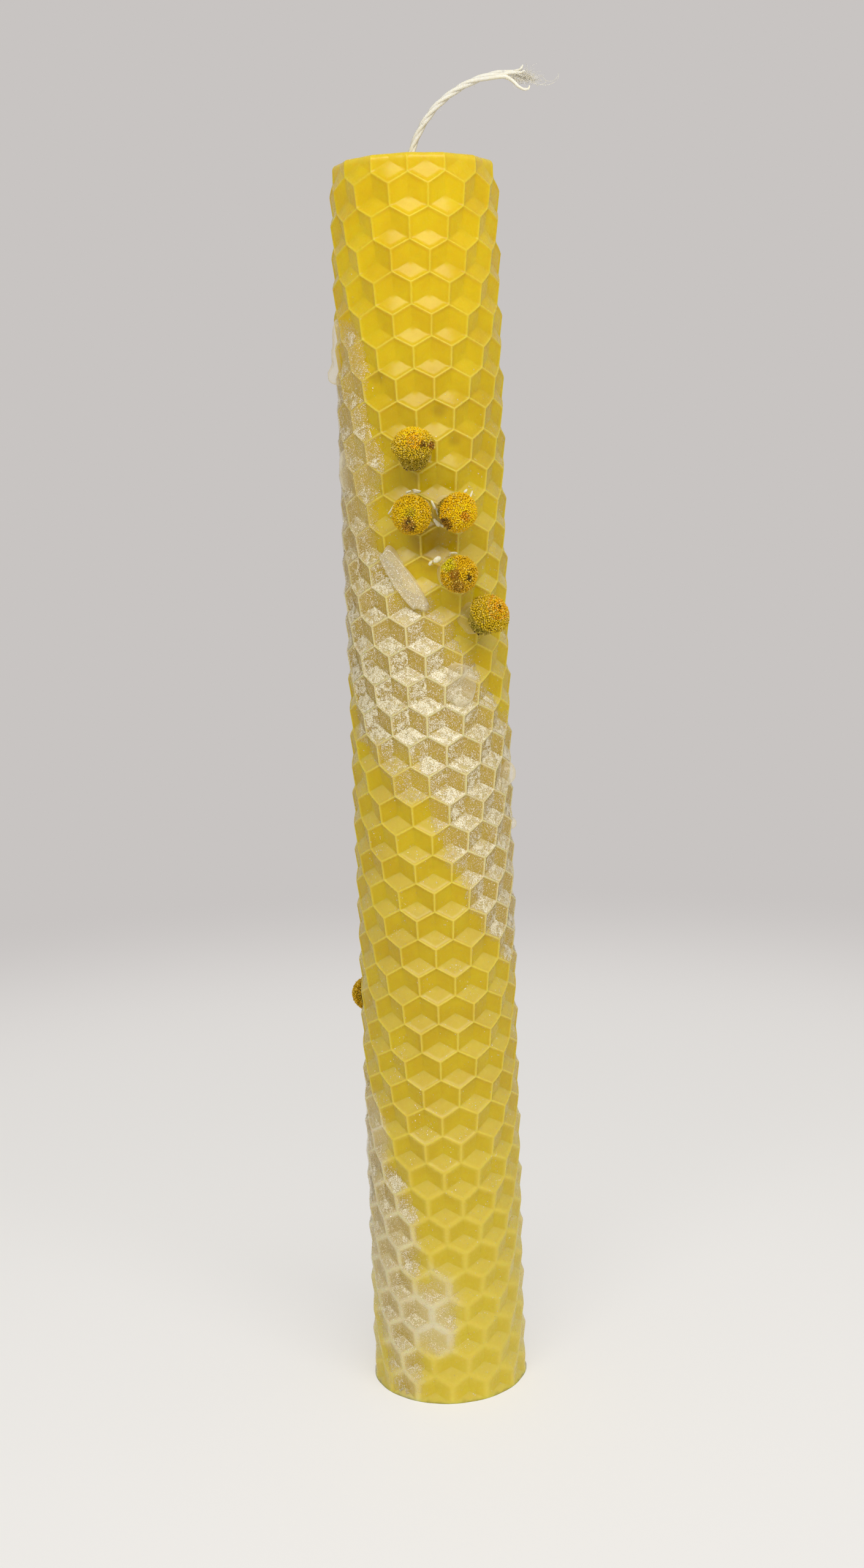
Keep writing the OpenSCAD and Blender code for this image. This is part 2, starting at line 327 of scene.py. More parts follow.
def colour(red, green, blue):
    """A colour written in screen values from 0 to 255, as the linear one that shaders take."""
    def linear(value):
        share = value / 255
        return share / 12.92 if share <= 0.04045 else ((share + 0.055) / 1.055) ** 2.4
    return (linear(red), linear(green), linear(blue), 1.0)


def tone(shade):
    """The three linear parts of a screen colour."""
    return np.array(colour(*shade)[:3])


def blend(first, shade, share):
    """Linear colours mixed with a screen colour, by a share for each place."""
    share = np.reshape(share, (-1, 1))
    return first * (1 - share) + share * tone(shade)


class Shader:
    """A material and short ways to add its nodes."""

    def __init__(self, name):
        self.material = bpy.data.materials.new(name)
        self.material.use_nodes = True
        self.tree = self.material.node_tree
        self.main = self.tree.nodes["Principled BSDF"]
        self.place = self.add("ShaderNodeTexCoord").outputs["Object"]

    def add(self, kind, settings=None, *values, **inputs):
        node = self.tree.nodes.new(kind)
        for key, value in (settings or {}).items():
            setattr(node, key, value)
        for key, value in [*enumerate(values), *inputs.items()]:
            self.put(node, key, value)
        return node

    def put(self, node, key, value):
        socket = node.inputs[key if isinstance(key, int) else key.replace("_", " ")]
        if hasattr(value, "is_linked"):
            self.tree.links.new(value, socket)
        else:
            socket.default_value = value

    def set(self, **inputs):
        for key, value in inputs.items():
            self.put(self.main, key, value)

    def soften(self, weight, radius, depth):
        self.set(Subsurface_Weight=weight, Subsurface_Radius=radius, Subsurface_Scale=depth * MM)

    def value(self, name, output="Fac"):
        return self.add("ShaderNodeAttribute", {"attribute_name": name}).outputs[output]

    def noise(self, scale, detail=2.0):
        return self.add("ShaderNodeTexNoise", Vector=self.place, Scale=scale, Detail=detail).outputs["Fac"]

    def spread(self, value, low, high, to_low=0.0, to_high=1.0):
        settings = {"interpolation_type": "SMOOTHSTEP"}
        return self.add("ShaderNodeMapRange", settings, value, low, high, to_low, to_high).outputs["Result"]

    def distance(self, middle=(0.0, 0.0, 0.0)):
        settings = {"operation": "DISTANCE"}
        return self.add("ShaderNodeVectorMath", settings, self.place, middle).outputs["Value"]

    def math(self, operation, first, second):
        return self.add("ShaderNodeMath", {"operation": operation}, first, second).outputs[0]

    def mix(self, factor, first, second):
        node = self.add("ShaderNodeMix", {"data_type": "RGBA"}, factor)
        self.put(node, 6, first)
        self.put(node, 7, second)
        return node.outputs[2]

    def bump(self, height, strength, distance):
        node = self.add("ShaderNodeBump", Height=height, Strength=strength, Distance=distance)
        return node.outputs["Normal"]


# Wax tones: how far down the painted glow at the top fades in and where it is full, how pale dust and painted
# light make floors that face up and where this ends below the top, how much the glaze hides, and how high the
# worn part reaches
GLOW_LENGTH = 50.0
FULL_GLOW_DROP = 6.0
DUST_AND_LIGHT_SHARE = 0.4
DUST_AND_LIGHT_ENDS = (40.0, 60.0)
GLAZE_SHARE = 0.7
WORN_TONES = (5.0, 62.0)
# Brown marks in the wax, stains near the first head and a darkening below the second and third heads: mm
# right, mm below the top, radius and strength
BROWN_MARKS = ((-6.1, 32.1, 1.6, 0.25), (3.4, 37.4, 1.7, 0.32), (5.8, 41.9, 1.5, 0.28), (0.8, 57.0, 4.0, 0.4))


def wax_material():
    shader = Shader("beeswax")
    names = ("painted_top_light", "dust_and_facet_light", "ridge", "glaze", "worn", "milk")
    painted_top_light, dust_and_facet_light, ridge, glaze, worn, milk = (shader.value(name) for name in names)
    fine = shader.noise(1400.0, 4.0)
    mottle = shader.spread(shader.noise(160.0, 3.0), 0.3, 0.7)
    # deep is the lower wax's tone and clear the lighter top; the painted glow between them stands in for
    # light coming through the top end
    deep = shader.mix(mottle, colour(209, 176, 4), colour(218, 189, 12))
    clear = shader.mix(mottle, colour(231, 194, 2), colour(238, 206, 6))
    floor = shader.mix(worn, shader.mix(painted_top_light, deep, clear), colour(220, 196, 48))
    # Floors that face up are paler: dust, and painted light on the facets that face the lamp
    floor = shader.mix(dust_and_facet_light, floor, colour(228, 208, 112))
    # Brown marks: stains near the first head, and a brown darkening below the second and third heads
    for right, below, radius, strength in BROWN_MARKS:
        far = shader.distance(on_wax(angle_of(right), below) * MM)
        share = shader.spread(far, 0.3 * radius * MM, radius * MM, strength, 0.0)
        floor = shader.mix(share, floor, colour(140, 98, 22))
    # Ridges are painted less pale where the painted glow lights the top
    crest = shader.math("MULTIPLY", ridge, shader.spread(painted_top_light, 0.0, 1.0, 0.52, 0.18))
    white = shader.math("MULTIPLY", milk, shader.spread(ridge, 0.0, 0.8, 0.3, 0.85))
    body = shader.mix(crest, floor, colour(238, 218, 104))
    body = shader.mix(white, body, colour(248, 243, 220))
    # Under the glaze, floors that face up get a painted pearly sheen
    glazed_floor_sheen = shader.mix(shader.spread(dust_and_facet_light, 0.0, DUST_AND_LIGHT_SHARE), colour(196, 166, 72), colour(230, 211, 148))
    under = shader.mix(ridge, glazed_floor_sheen, colour(246, 236, 192))
    shader.set(
        Base_Color=shader.mix(shader.math("MULTIPLY", glaze, GLAZE_SHARE), body, under),
        Roughness=shader.spread(fine, 0.2, 0.8, 0.2, 0.32),
        Specular_IOR_Level=0.34,
        Normal=shader.bump(fine, 0.25, 0.05 * MM),
    )
    shader.soften(0.75, (1.0, 0.65, 0.15), 1.1)
    return shader.material


def glue_material(name, low, high):
    """Clear glue, as solid as the two shares say where it is seen flat and at its edges."""
    shader = Shader(name)
    edge = shader.add("ShaderNodeLayerWeight", Blend=0.4).outputs["Facing"]
    shader.set(
        Base_Color=colour(255, 243, 204),
        Roughness=0.05,
        IOR=1.7,
        Specular_IOR_Level=1.0,
        Alpha=shader.spread(edge, 0.05, 0.75, low, high),
        Normal=shader.bump(shader.noise(700.0, 2.0), 0.2, 0.1 * MM),
    )
    return shader.material


def grainy_material(name, scale, dark, light, roughness, specular, softness):
    """A soft material with fine grains of two tones, for the cotton and the dried glue."""
    shader = Shader(name)
    grain = shader.spread(shader.noise(scale, 3.0), 0.3, 0.7)
    shader.set(
        Base_Color=shader.mix(grain, colour(*dark), colour(*light)),
        Roughness=roughness,
        Specular_IOR_Level=specular,
    )
    shader.soften(*softness)
    return shader.material


def film_material():
    shader = Shader("glitter_glue_film")
    sparkle = shader.spread(shader.noise(6000.0, 2.0), 0.36, 0.58)
    flakes = shader.mix(sparkle, colour(212, 188, 126), colour(254, 245, 212))
    clumps = shader.spread(shader.noise(1100.0, 2.0), 0.38, 0.6, 0.1, 0.33)
    # cover: glitter grains, thicker on floors that face up and right as a painted sheen
    heaped = shader.math("MULTIPLY", shader.value("cover"), clumps)
    grain = shader.spread(shader.math("ADD", shader.noise(7500.0, 3.0), heaped), 0.6, 0.67)
    pooled = shader.math("MULTIPLY", shader.value("pool"), 0.24)
    small = shader.math("MULTIPLY", shader.noise(6000.0, 1.0), 0.35)
    ripples = shader.math("ADD", shader.noise(1500.0, 2.0), small)
    shader.set(
        Base_Color=shader.mix(grain, colour(232, 212, 152), flakes),
        Roughness=shader.spread(grain, 0.0, 1.0, 0.07, 0.25),
        IOR=1.45,
        Specular_IOR_Level=0.7,
        Alpha=shader.math("MAXIMUM", shader.spread(grain, 0.0, 1.0, 0.06, 0.95), pooled),
        Normal=shader.bump(ripples, 0.5, 0.12 * MM),
    )
    return shader.material


def flake_material():
    shader = Shader("glitter")
    shader.set(
        Base_Color=shader.value("shade", "Color"),
        Roughness=0.18,
        Metallic=0.1,
        Specular_IOR_Level=1.0,
    )
    return shader.material


def petal_material(name, roughness):
    shader = Shader(name)
    shader.set(
        Base_Color=shader.value("shade", "Color"),
        Roughness=roughness,
        Specular_IOR_Level=0.2,
    )
    shader.soften(0.15, (1.0, 0.6, 0.1), 0.3)
    return shader.material


def comb_spokes():
    """Points round a cell's edge from corner to corner: steps, levels, and 0 to 1 from deep to high."""
    spokes = []
    for n, corner in enumerate(CORNERS):
        following = CORNERS[(n + 1) % 6]
        stops = EDGE_STOPS if n % 2 == 0 else [0.0] + [1 - stop for stop in reversed(EDGE_STOPS[1:])]
        for stop in stops:
            step = corner[0] + stop * (following[0] - corner[0])
            level = corner[1] + stop * (following[1] - corner[1])
            spokes.append((step, level, stop if n % 2 == 0 else 1 - stop))
    return spokes


def comb_lattice():
    """Steps, heights, drops and ridge shares of the embossed run's points, and its faces."""
    spokes = comb_spokes()
    count = len(spokes)
    index = {}
    rows = []
    faces = []
    draw = random.Random(3)

    def point(step, z, drop, ridge):
        key = (round(step * 500), round(z * 500))
        if key not in index:
            index[key] = len(rows)
            rows.append((step, z, drop, ridge))
        return index[key]

    for row in range(-1, LATTICE_ROWS):
        height = CANDLE_HEIGHT - TOP_ROW_DROP - ROW_HEIGHT * row
        worn = WORN_SHARE * float(1 - smooth(*WORN_HEIGHTS, height))
        foot = FOOT_SHARE - worn
        for middle in range(row % 2, RUN_STEPS + 1, 2):
            deep = draw.uniform(*CELL_DEPTHS) * (1 - worn)

            def at(spoke, share):
                step, level, high = spokes[spoke % count]
                floor = MIDDLE_DROP * (1 - share) + share * (DEEP_DROP + (HIGH_DROP - DEEP_DROP) * high)
                crest = float(smooth(foot, CREST_SHARE, share))
                depth = deep + (1 - deep) * float(smooth(0.85, 1, share))
                drop = depth * floor * (1 - crest) + CREST_FALL * (1 - high) * crest
                return point(middle + share * step, height + share * level * ROW_HEIGHT / 3, drop, crest)

            for n in range(count):
                step = middle + (spokes[n][0] + spokes[(n + 1) % count][0]) / 2
                if not 0 < step < RUN_STEPS:
                    continue
                faces.append((at(n, 0), at(n + 1, RINGS[0]), at(n, RINGS[0])))
                for low, high in zip(RINGS, RINGS[1:]):
                    faces.append((at(n, low), at(n + 1, low), at(n + 1, high), at(n, high)))
    return np.array(rows), faces


def cut_sheet(points, faces, values):
    """Cuts the run level at the base and the top, and gives its points, faces and values."""
    mesh = bmesh.new()
    layers = [mesh.verts.layers.float.new(key) for key in values]
    numbers = np.array(list(values.values())).T
    verts = []
    for place, row in zip(points, numbers):
        vert = mesh.verts.new(place)
        for layer, number in zip(layers, row):
            vert[layer] = number
        verts.append(vert)
    for face in faces:
        mesh.faces.new([verts[n] for n in face])
    cuts = [(0, -1, True), (CANDLE_HEIGHT, 1, True)]
    cuts += [(CANDLE_HEIGHT - RIM_ROUND * share, 1, False) for share in RIM_CUTS]
    for height, up, clear in cuts:
        everything = mesh.verts[:] + mesh.edges[:] + mesh.faces[:]
        bmesh.ops.bisect_plane(mesh, geom=everything, dist=1e-5, plane_co=(0, 0, height),
                               plane_no=(0, 0, up), clear_outer=clear)
    mesh.verts.index_update()
    places = np.array([vert.co for vert in mesh.verts])
    kept = {key: np.array([vert[layer] for vert in mesh.verts]) for key, layer in zip(values, layers)}
    shapes = [tuple(vert.index for vert in face.verts) for face in mesh.faces]
    mesh.free()
    return places, shapes, kept


def zip_faces(first, second, place):
    """Triangles between two rows of point numbers that both run along the values in place."""
    faces = []
    a = b = 0
    while a < len(first) - 1 or b < len(second) - 1:
        if b == len(second) - 1 or (a < len(first) - 1 and place[first[a + 1]] <= place[second[b + 1]]):
            faces.append((first[a], second[b], first[a + 1]))
            a += 1
        else:
            faces.append((first[a], second[b], second[b + 1]))
            b += 1
    return faces


# Inner turns: how far their edges wave, in and below the cut, and points in each step
EDGE_WAVES = ((0.0, 1.0), (0.8, 0.9), (1.6, 0.45), (2.3, 0.0))
STEP_PARTS = 4
OUTER_WAVE = 1.0
INNER_WAVE = 0.8


def edge_rings():
    """Heights of a turn's rings from the base to the top, and how much each waves."""
    lower = list(EDGE_WAVES)
    return lower + [(CANDLE_HEIGHT - drop, wave) for drop, wave in reversed(lower)]


def turn_wave(step, z):
    """How the cut comb waves along a turn, from 0 to 1, and how much room the turn has for it."""
    swell = 0.5 + 0.5 * np.cos(math.pi * (np.asarray(step) + (1 if z < CANDLE_HEIGHT / 2 else 0)))
    return swell, np.clip((spiral_radius(step) - CORE_RADIUS) / TURN_PITCH, 0, 1)


def inner_face(step, z, wave):
    """Radius of a turn's inner side, which waves where the comb is cut."""
    swell, room = turn_wave(step, z)
    lift = INNER_WAVE * wave * (1 - swell) * pressed(step) * room
    return np.maximum(CORE_RADIUS, spiral_radius(step)) + lift


def outer_face(step, z, wave):
    """Radius of a hidden turn's outer side."""
    swell, room = turn_wave(step, z)
    return ridge_radius(step) - OUTER_WAVE * wave * swell * room


def comb_skin():
    """The embossed outside as an open skin: points, faces, and the points' steps, ridges and drops."""
    rows, faces = comb_lattice()
    step, z, drop, ridge = rows.T
    free = smooth(0, SEAM_HOLD, step) * smooth(0, SEAM_HOLD, RUN_STEPS - step)
    angle = SEAM_ANGLE - step * HALF_ANGLE
    turned = angle + free * BASE_TWIST * (1 - z / CANDLE_HEIGHT)
    turned = turned + free * SHEET_SWAY * wobble(angle, z, 22, 4, 30)
    risen = z + 0.5 * SHEET_SWAY * free * wobble(angle, z, 23, 4, 30)
    near_top = smooth(CANDLE_HEIGHT - TAPER_LENGTH, CANDLE_HEIGHT, z)
    drop = drop * relief(step) * (1 - TOP_SHALLOW * near_top)
    radius = ridge_radius(step) + SHEET_SWELL * pressed(step) - drop - TOP_TAPER * near_top
    radius = radius + SHEET_UNEVEN * wobble(angle, z, 21)
    radius = radius + BASE_FLARE * np.exp(-np.maximum(z, 0) / FLARE_LENGTH)
    values = {"step": step, "ridge": ridge * relief(step), "drop": drop}
    points, faces, kept = cut_sheet(polar(radius, turned, risen), faces, values)
    rise = np.clip((points[:, 2] - CANDLE_HEIGHT + RIM_ROUND) / RIM_ROUND, 0, 1)
    pull = RIM_ROUND * (1 - np.sqrt(1 - 0.98 * rise * rise))
    points[:, :2] *= (1 - pull / np.linalg.norm(points[:, :2], axis=1))[:, None]
    return points, faces, kept


def slant_top(points):
    """Lifts the front of the top a little and lowers its back, as the roll was cut."""
    share = smooth(CANDLE_HEIGHT - SLANT_LENGTH, CANDLE_HEIGHT, points[:, 2])
    points[:, 2] += TOP_SLANT * share * -points[:, 1] / (CANDLE_DIAMETER / 2)
    return points


def outer_run(points, faces, kept):
    """The embossed skin closed with its inner side and edges: points and faces."""
    faces = list(faces)
    step = list(kept["step"])
    points = list(map(tuple, points))
    outside = len(points)
    steps = np.linspace(0, RUN_STEPS, RUN_STEPS * STEP_PARTS + 1)
    rings = []
    for height, wave in edge_rings():
        rings.append(range(len(points), len(points) + len(steps)))
        for place in polar(inner_face(steps, height, wave), SEAM_ANGLE - steps * HALF_ANGLE, height):
            points.append(tuple(place))
        step.extend(steps)
    for low, high in zip(rings, rings[1:]):
        for n in range(len(steps) - 1):
            faces.append((low[n], high[n], high[n + 1], low[n + 1]))
    heights = np.array(points)[:, 2]
    for height, ring in ((0, rings[0]), (CANDLE_HEIGHT, rings[-1])):
        edge = [n for n in range(outside) if abs(heights[n] - height) < 1e-4]
        edge.sort(key=lambda n: step[n])
        rim = zip_faces(edge, list(ring), step)
        faces.extend(rim if height else [face[::-1] for face in rim])
    for at, flip in ((0, False), (RUN_STEPS, True)):
        edge = [n for n in range(outside) if abs(step[n] - at) < 1e-4]
        edge.sort(key=lambda n: heights[n])
        back = [ring[-1 if at else 0] for ring in rings]
        side = zip_faces(edge, back, heights)
        faces.extend([face[::-1] for face in side] if flip else side)
    return np.array(points), faces


def inner_turns():
    """The hidden turns from the end of the embossed run to the wick, as a closed shell."""
    steps = np.linspace(RUN_STEPS, ROLL_STEPS, (ROLL_STEPS - RUN_STEPS) * STEP_PARTS + 1)
    angle = SEAM_ANGLE - steps * HALF_ANGLE
    loops = [polar(inner_face(steps, z, wave), angle, z) for z, wave in edge_rings()]
    loops += [polar(outer_face(steps, z, wave), angle, z) for z, wave in reversed(edge_rings())]
    return np.stack(loops, axis=1).reshape(-1, 3), closed_faces(len(steps), len(loops))


def facing_up(normals):
    """How far faces look up, from 0 to 1."""
    return smooth(0.02, 0.26, normals[:, 2])


def wax_sheet(skin, material):
    """The embossed run, with its tones, and the turns inside it."""
    points, faces = outer_run(*skin)
    angle, z = unrolled(points)
    inner = np.zeros(len(points) - len(skin[0]))
    # The top rim takes the ridges' paler tone, a painted highlight along the top edge
    rim = smooth(CANDLE_HEIGHT - 1.5, CANDLE_HEIGHT - 0.4, z)
    values = {
        "ridge": np.maximum(np.concatenate([skin[2]["ridge"], inner]), rim),
        "glaze": band_share(angle, z) ** 1.5,
        "worn": 1 - smooth(*WORN_TONES, z),
        "milk": pool_share(angle, z, MILKY_POOLS),
        # Painted glow: the top is painted lighter, standing in for light that comes through the wax's top end
        "painted_top_light": smooth(CANDLE_HEIGHT - GLOW_LENGTH, CANDLE_HEIGHT - FULL_GLOW_DROP, z),
    }
    corners, middles, normals, _ = face_sizes(skin[0], skin[1])
    # Dust and painted light on floors that face up, away from the ridges and low on the candle
    dust_and_facet_light = DUST_AND_LIGHT_SHARE * facing_up(normals) * (1 - skin[2]["ridge"][corners].mean(axis=1))
    dust_and_facet_light = dust_and_facet_light * smooth(*DUST_AND_LIGHT_ENDS, CANDLE_HEIGHT - middles[:, 2])
    dust_and_facet_light = np.concatenate([dust_and_facet_light, np.zeros(len(faces) - len(dust_and_facet_light))])
    add_piece("beeswax_sheet", slant_top(points), faces, material, "wax", ["wax_sheet"], values=values,
              face_values={"dust_and_facet_light": dust_and_facet_light})
    inside, turns = inner_turns()
    add_piece("beeswax_inner_turns", slant_top(inside), turns, material, "wax", shading=False)


# Flower heads: sizes shared by all, then each one's place, lean and colours.
# Spots and rings are given in mm to the right of and above the middle of the head as seen.
SPRAY_DROP = 42.4
FLOWER_DIAMETER = 6.1
DOME_HEIGHT = 2.6
CUP_DEPTH = 3.3
CUP_BASE = 3.7
CUP_STEP = 0.3
DAB_FLOOR = 0.5
SEAT_CLEARANCE = 0.05
BUD_SPACING = 0.225
BUD_HEIGHT = 0.28
BUD_SUNK = 0.2
BUD_STRAY = 0.05
BUD_LEAN = 0.16
BUD_WIDTHS = (0.46, 0.6)
BUD_HEIGHTS = (0.8, 1.15)
FLOWERS = (
    {"right": -0.4, "below": 0.0, "extra": 0.6, "tilt": 55, "turn": -4,
     "dome": (248, 196, 2), "rim": (194, 162, 22), "side": (172, 146, 28), "pale": 0.3,
     "spots": ((0.2, 1.2, 1.2, (242, 174, 4)), (1.5, 0.65, 0.5, (84, 40, 12)),
               (2.6, 0.5, 0.6, (132, 76, 18)))},
    {"right": -0.8, "below": 10.2, "extra": 0.0, "tilt": -4, "turn": -5,
     "dome": (232, 190, 3), "rim": (214, 170, 5), "side": (150, 126, 24), "pale": 0.12,
     "spots": ((-0.2, 0.4, 0.9, (196, 172, 14)), (-0.45, -1.3, 1.15, (168, 118, 42)),
               (0.2, -1.75, 0.4, (70, 44, 16)), (-0.5, -0.95, 0.35, (74, 48, 18)))},
    {"right": 4.4, "below": 10.1, "extra": 0.0, "tilt": -7, "turn": 5,
     "dome": (248, 200, 2), "rim": (230, 178, 3), "side": (160, 132, 20), "pale": 0.15,
     "spots": ((1.1, -0.55, 0.8, (212, 144, 16)), (-1.7, -1.5, 0.9, (150, 106, 22)),
               (-2.0, -0.9, 0.35, (86, 58, 16)), (-1.2, -2.1, 0.3, (90, 60, 16)))},
    {"right": 4.3, "below": 19.4, "extra": -0.4, "tilt": 0, "turn": -15,
     "dome": (224, 178, 3), "rim": (214, 166, 5), "side": (150, 120, 22), "pale": 0.18,
     "spots": ((-1.6, 1.5, 1.3, (206, 190, 6)), (-0.7, 0.1, 0.9, (150, 96, 24)),
               (1.4, -0.4, 0.5, (56, 32, 10)), (-0.2, -1.5, 1.1, (168, 122, 32)))},
    {"right": 7.9, "below": 25.8, "extra": 0.5, "tilt": 34, "turn": 0,
     "dome": (220, 178, 6), "rim": (200, 168, 18), "side": (158, 140, 36), "pale": 0.3,
     "spots": ((1.6, 1.4, 1.2, (232, 164, 8)), (1.6, 1.4, 0.28, (104, 92, 18))),
     "rings": ((1.6, 1.4, 1.65, 0.26, (212, 148, 14)),)},
    {"right": -28.7, "below": 93.2, "extra": -0.4, "tilt": 0, "turn": 0,
     "dome": (226, 184, 10), "rim": (208, 164, 14), "side": (156, 128, 30), "pale": 0.15,
     "spots": ((0.3, -0.4, 0.9, (176, 118, 22)),)},
)
BASE_SHADE = (104, 74, 46)
PALE_SHADE = (236, 206, 104)
# Bud rings as [height, radius, shade]: the shade is painted shade at each bud's foot and painted light
# towards its tip
BUD_RINGS = ((-0.1, 0.85, 0.7), (0.5, 1.0, 0.97), (0.85, 0.7, 1.15))
TIP_PAINTED_LIGHT = 1.3
BUD_SIDES = 6
HEAD_SIDES = 28
# The heads' bodies under the buds are darkened, a painted shade in the gaps between the buds
GAP_SHADE = 0.6
FOOT_LIGHT = 0.8


def bud_shape():
    """A small closed bud, its faces, and each point's painted light and shade, darker at its foot and lighter
    at its tip.
    """
    points = [circle(radius, height, BUD_SIDES) for height, radius, _ in BUD_RINGS] + [[(0, 0, 1.0)]]
    light = np.repeat([shade for _, _, shade in BUD_RINGS], BUD_SIDES).tolist() + [TIP_PAINTED_LIGHT]
    tip = len(BUD_RINGS) * BUD_SIDES
    last = tip - BUD_SIDES
    faces = ring_faces(len(BUD_RINGS), BUD_SIDES) + [tuple(reversed(range(BUD_SIDES)))]
    faces += [(last + side, last + (side + 1) % BUD_SIDES, tip) for side in range(BUD_SIDES)]
    return np.concatenate(points), faces, np.array(light)


def lean_of(flower):
    """A head's tilt and turn in radians."""
    return math.radians(flower["tilt"]), math.radians(flower["turn"])


def head_place(flower):
    """Where a head's own frame lies: its origin and its rotation."""
    angle = angle_of(flower["right"])
    diameter = FLOWER_DIAMETER + flower["extra"]
    tilt, turn = lean_of(flower)
    lean = math.acos(math.cos(tilt) * math.cos(turn))
    reach = max(CUP_DEPTH * math.cos(lean) + CUP_BASE / 2 * math.sin(lean), diameter / 2 * math.sin(lean))
    origin = on_wax(angle, SPRAY_DROP + flower["below"], SEAT_CLEARANCE + DAB_FLOOR + reach)
    around = Matrix.Rotation(math.radians(angle), 3, "Z")
    upright = Matrix.Rotation(math.pi / 2, 3, "X")
    rotation = around @ upright @ Matrix.Rotation(turn, 3, "Y") @ Matrix.Rotation(-tilt, 3, "X")
    return origin, np.array(rotation)


def spiral(count):
    """Ranks from 0 to 1 and angles of places in a spiral."""
    places = np.arange(count)
    return (places + 0.5) / count, np.radians(GOLDEN_ANGLE) * places


def ball_radius(radius):
    """Radius of the ball that a dome of this radius is cut from."""
    return (DOME_HEIGHT ** 2 + radius ** 2) / (2 * DOME_HEIGHT)


def dome_buds(radius):
    """Places and normals of the florets on a dome, in a spiral from its top."""
    ball = ball_radius(radius)
    rank, around = spiral(round(2 * math.pi * ball * DOME_HEIGHT / BUD_SPACING ** 2))
    down = np.arccos(1 - DOME_HEIGHT / ball * rank)
    normals = np.stack([np.sin(down) * np.cos(around), np.sin(down) * np.sin(around), np.cos(down)], axis=1)
    return normals * (ball - BUD_SUNK) + [0, 0, DOME_HEIGHT - ball], normals


def side_buds(radius):
    """Places and normals of the grains on a cup's side."""
    low = CUP_BASE / 2
    slant = math.hypot(radius - low, CUP_DEPTH)
    rank, around = spiral(round(math.pi * (radius + low) * slant / BUD_SPACING ** 2))
    wide = np.sqrt(radius ** 2 - rank * (radius ** 2 - low ** 2))
    height = -CUP_DEPTH * (radius - wide) / (radius - low)
    flat = np.stack([np.cos(around), np.sin(around), 0 * around], axis=1)
    normals = (flat * CUP_DEPTH - [0, 0, radius - low]) / slant
    return flat * wide[:, None] + height[:, None] * [0, 0, 1] - normals * BUD_SUNK, normals


def paint_buds(flower, offset, shades, draw):
    """The buds' colours with the head's spots, rings and some chance, by their offsets from its middle."""
    count = len(offset)
    for right, up, radius, shade in flower["spots"]:
        far = np.hypot(offset[:, 0] - right, offset[:, 2] - up) + draw.normal(0, 0.12, count)
        shades = blend(shades, shade, 0.9 * (1 - smooth(0.6 * radius, 1.15 * radius, far)))
    for right, up, radius, width, shade in flower.get("rings", ()):
        far = np.abs(np.hypot(offset[:, 0] - right, offset[:, 2] - up) - radius)
        shades = blend(shades, shade, 0.85 * (1 - smooth(0.4 * width, 1.2 * width, far)))
    pale = (draw.random(count) < flower["pale"]) * draw.uniform(0.2, 0.8, count)
    return blend(shades, PALE_SHADE, pale) * draw.uniform(0.78, 1.24, (count, 1))


def add_buds(pile, flower, head, buds, middle, base, draw):
    """Puts many small buds on a part of a head."""
    origin, rotation = head
    local, normals = buds
    count = len(local)
    places = origin + (local + draw.normal(0, BUD_STRAY, (count, 3))) @ rotation.T
    ways = normals @ rotation.T + draw.normal(0, BUD_LEAN, (count, 3))
    width = draw.uniform(*BUD_WIDTHS, count) * BUD_SPACING
    sizes = np.stack([width, width, BUD_HEIGHT * draw.uniform(*BUD_HEIGHTS, count)], axis=1)
    shape, faces, light = bud_shape()
    points, copies = scatter(shape, faces, places, frames(ways, draw.uniform(0, 60, count)), sizes)
    shades = paint_buds(flower, places - middle, base, draw)
    # Each bud's colour times its painted light and shade
    full = (shades[:, None, :] * light[None, :, None]).reshape(-1, 3)
    pile.put(points, copies, np.column_stack([np.clip(full, 0, 1), np.ones(len(full))]))


def flat_shade(count, shade, factor):
    """One colour for so many points."""
    return [[*(factor * tone(shade)), 1.0]] * count


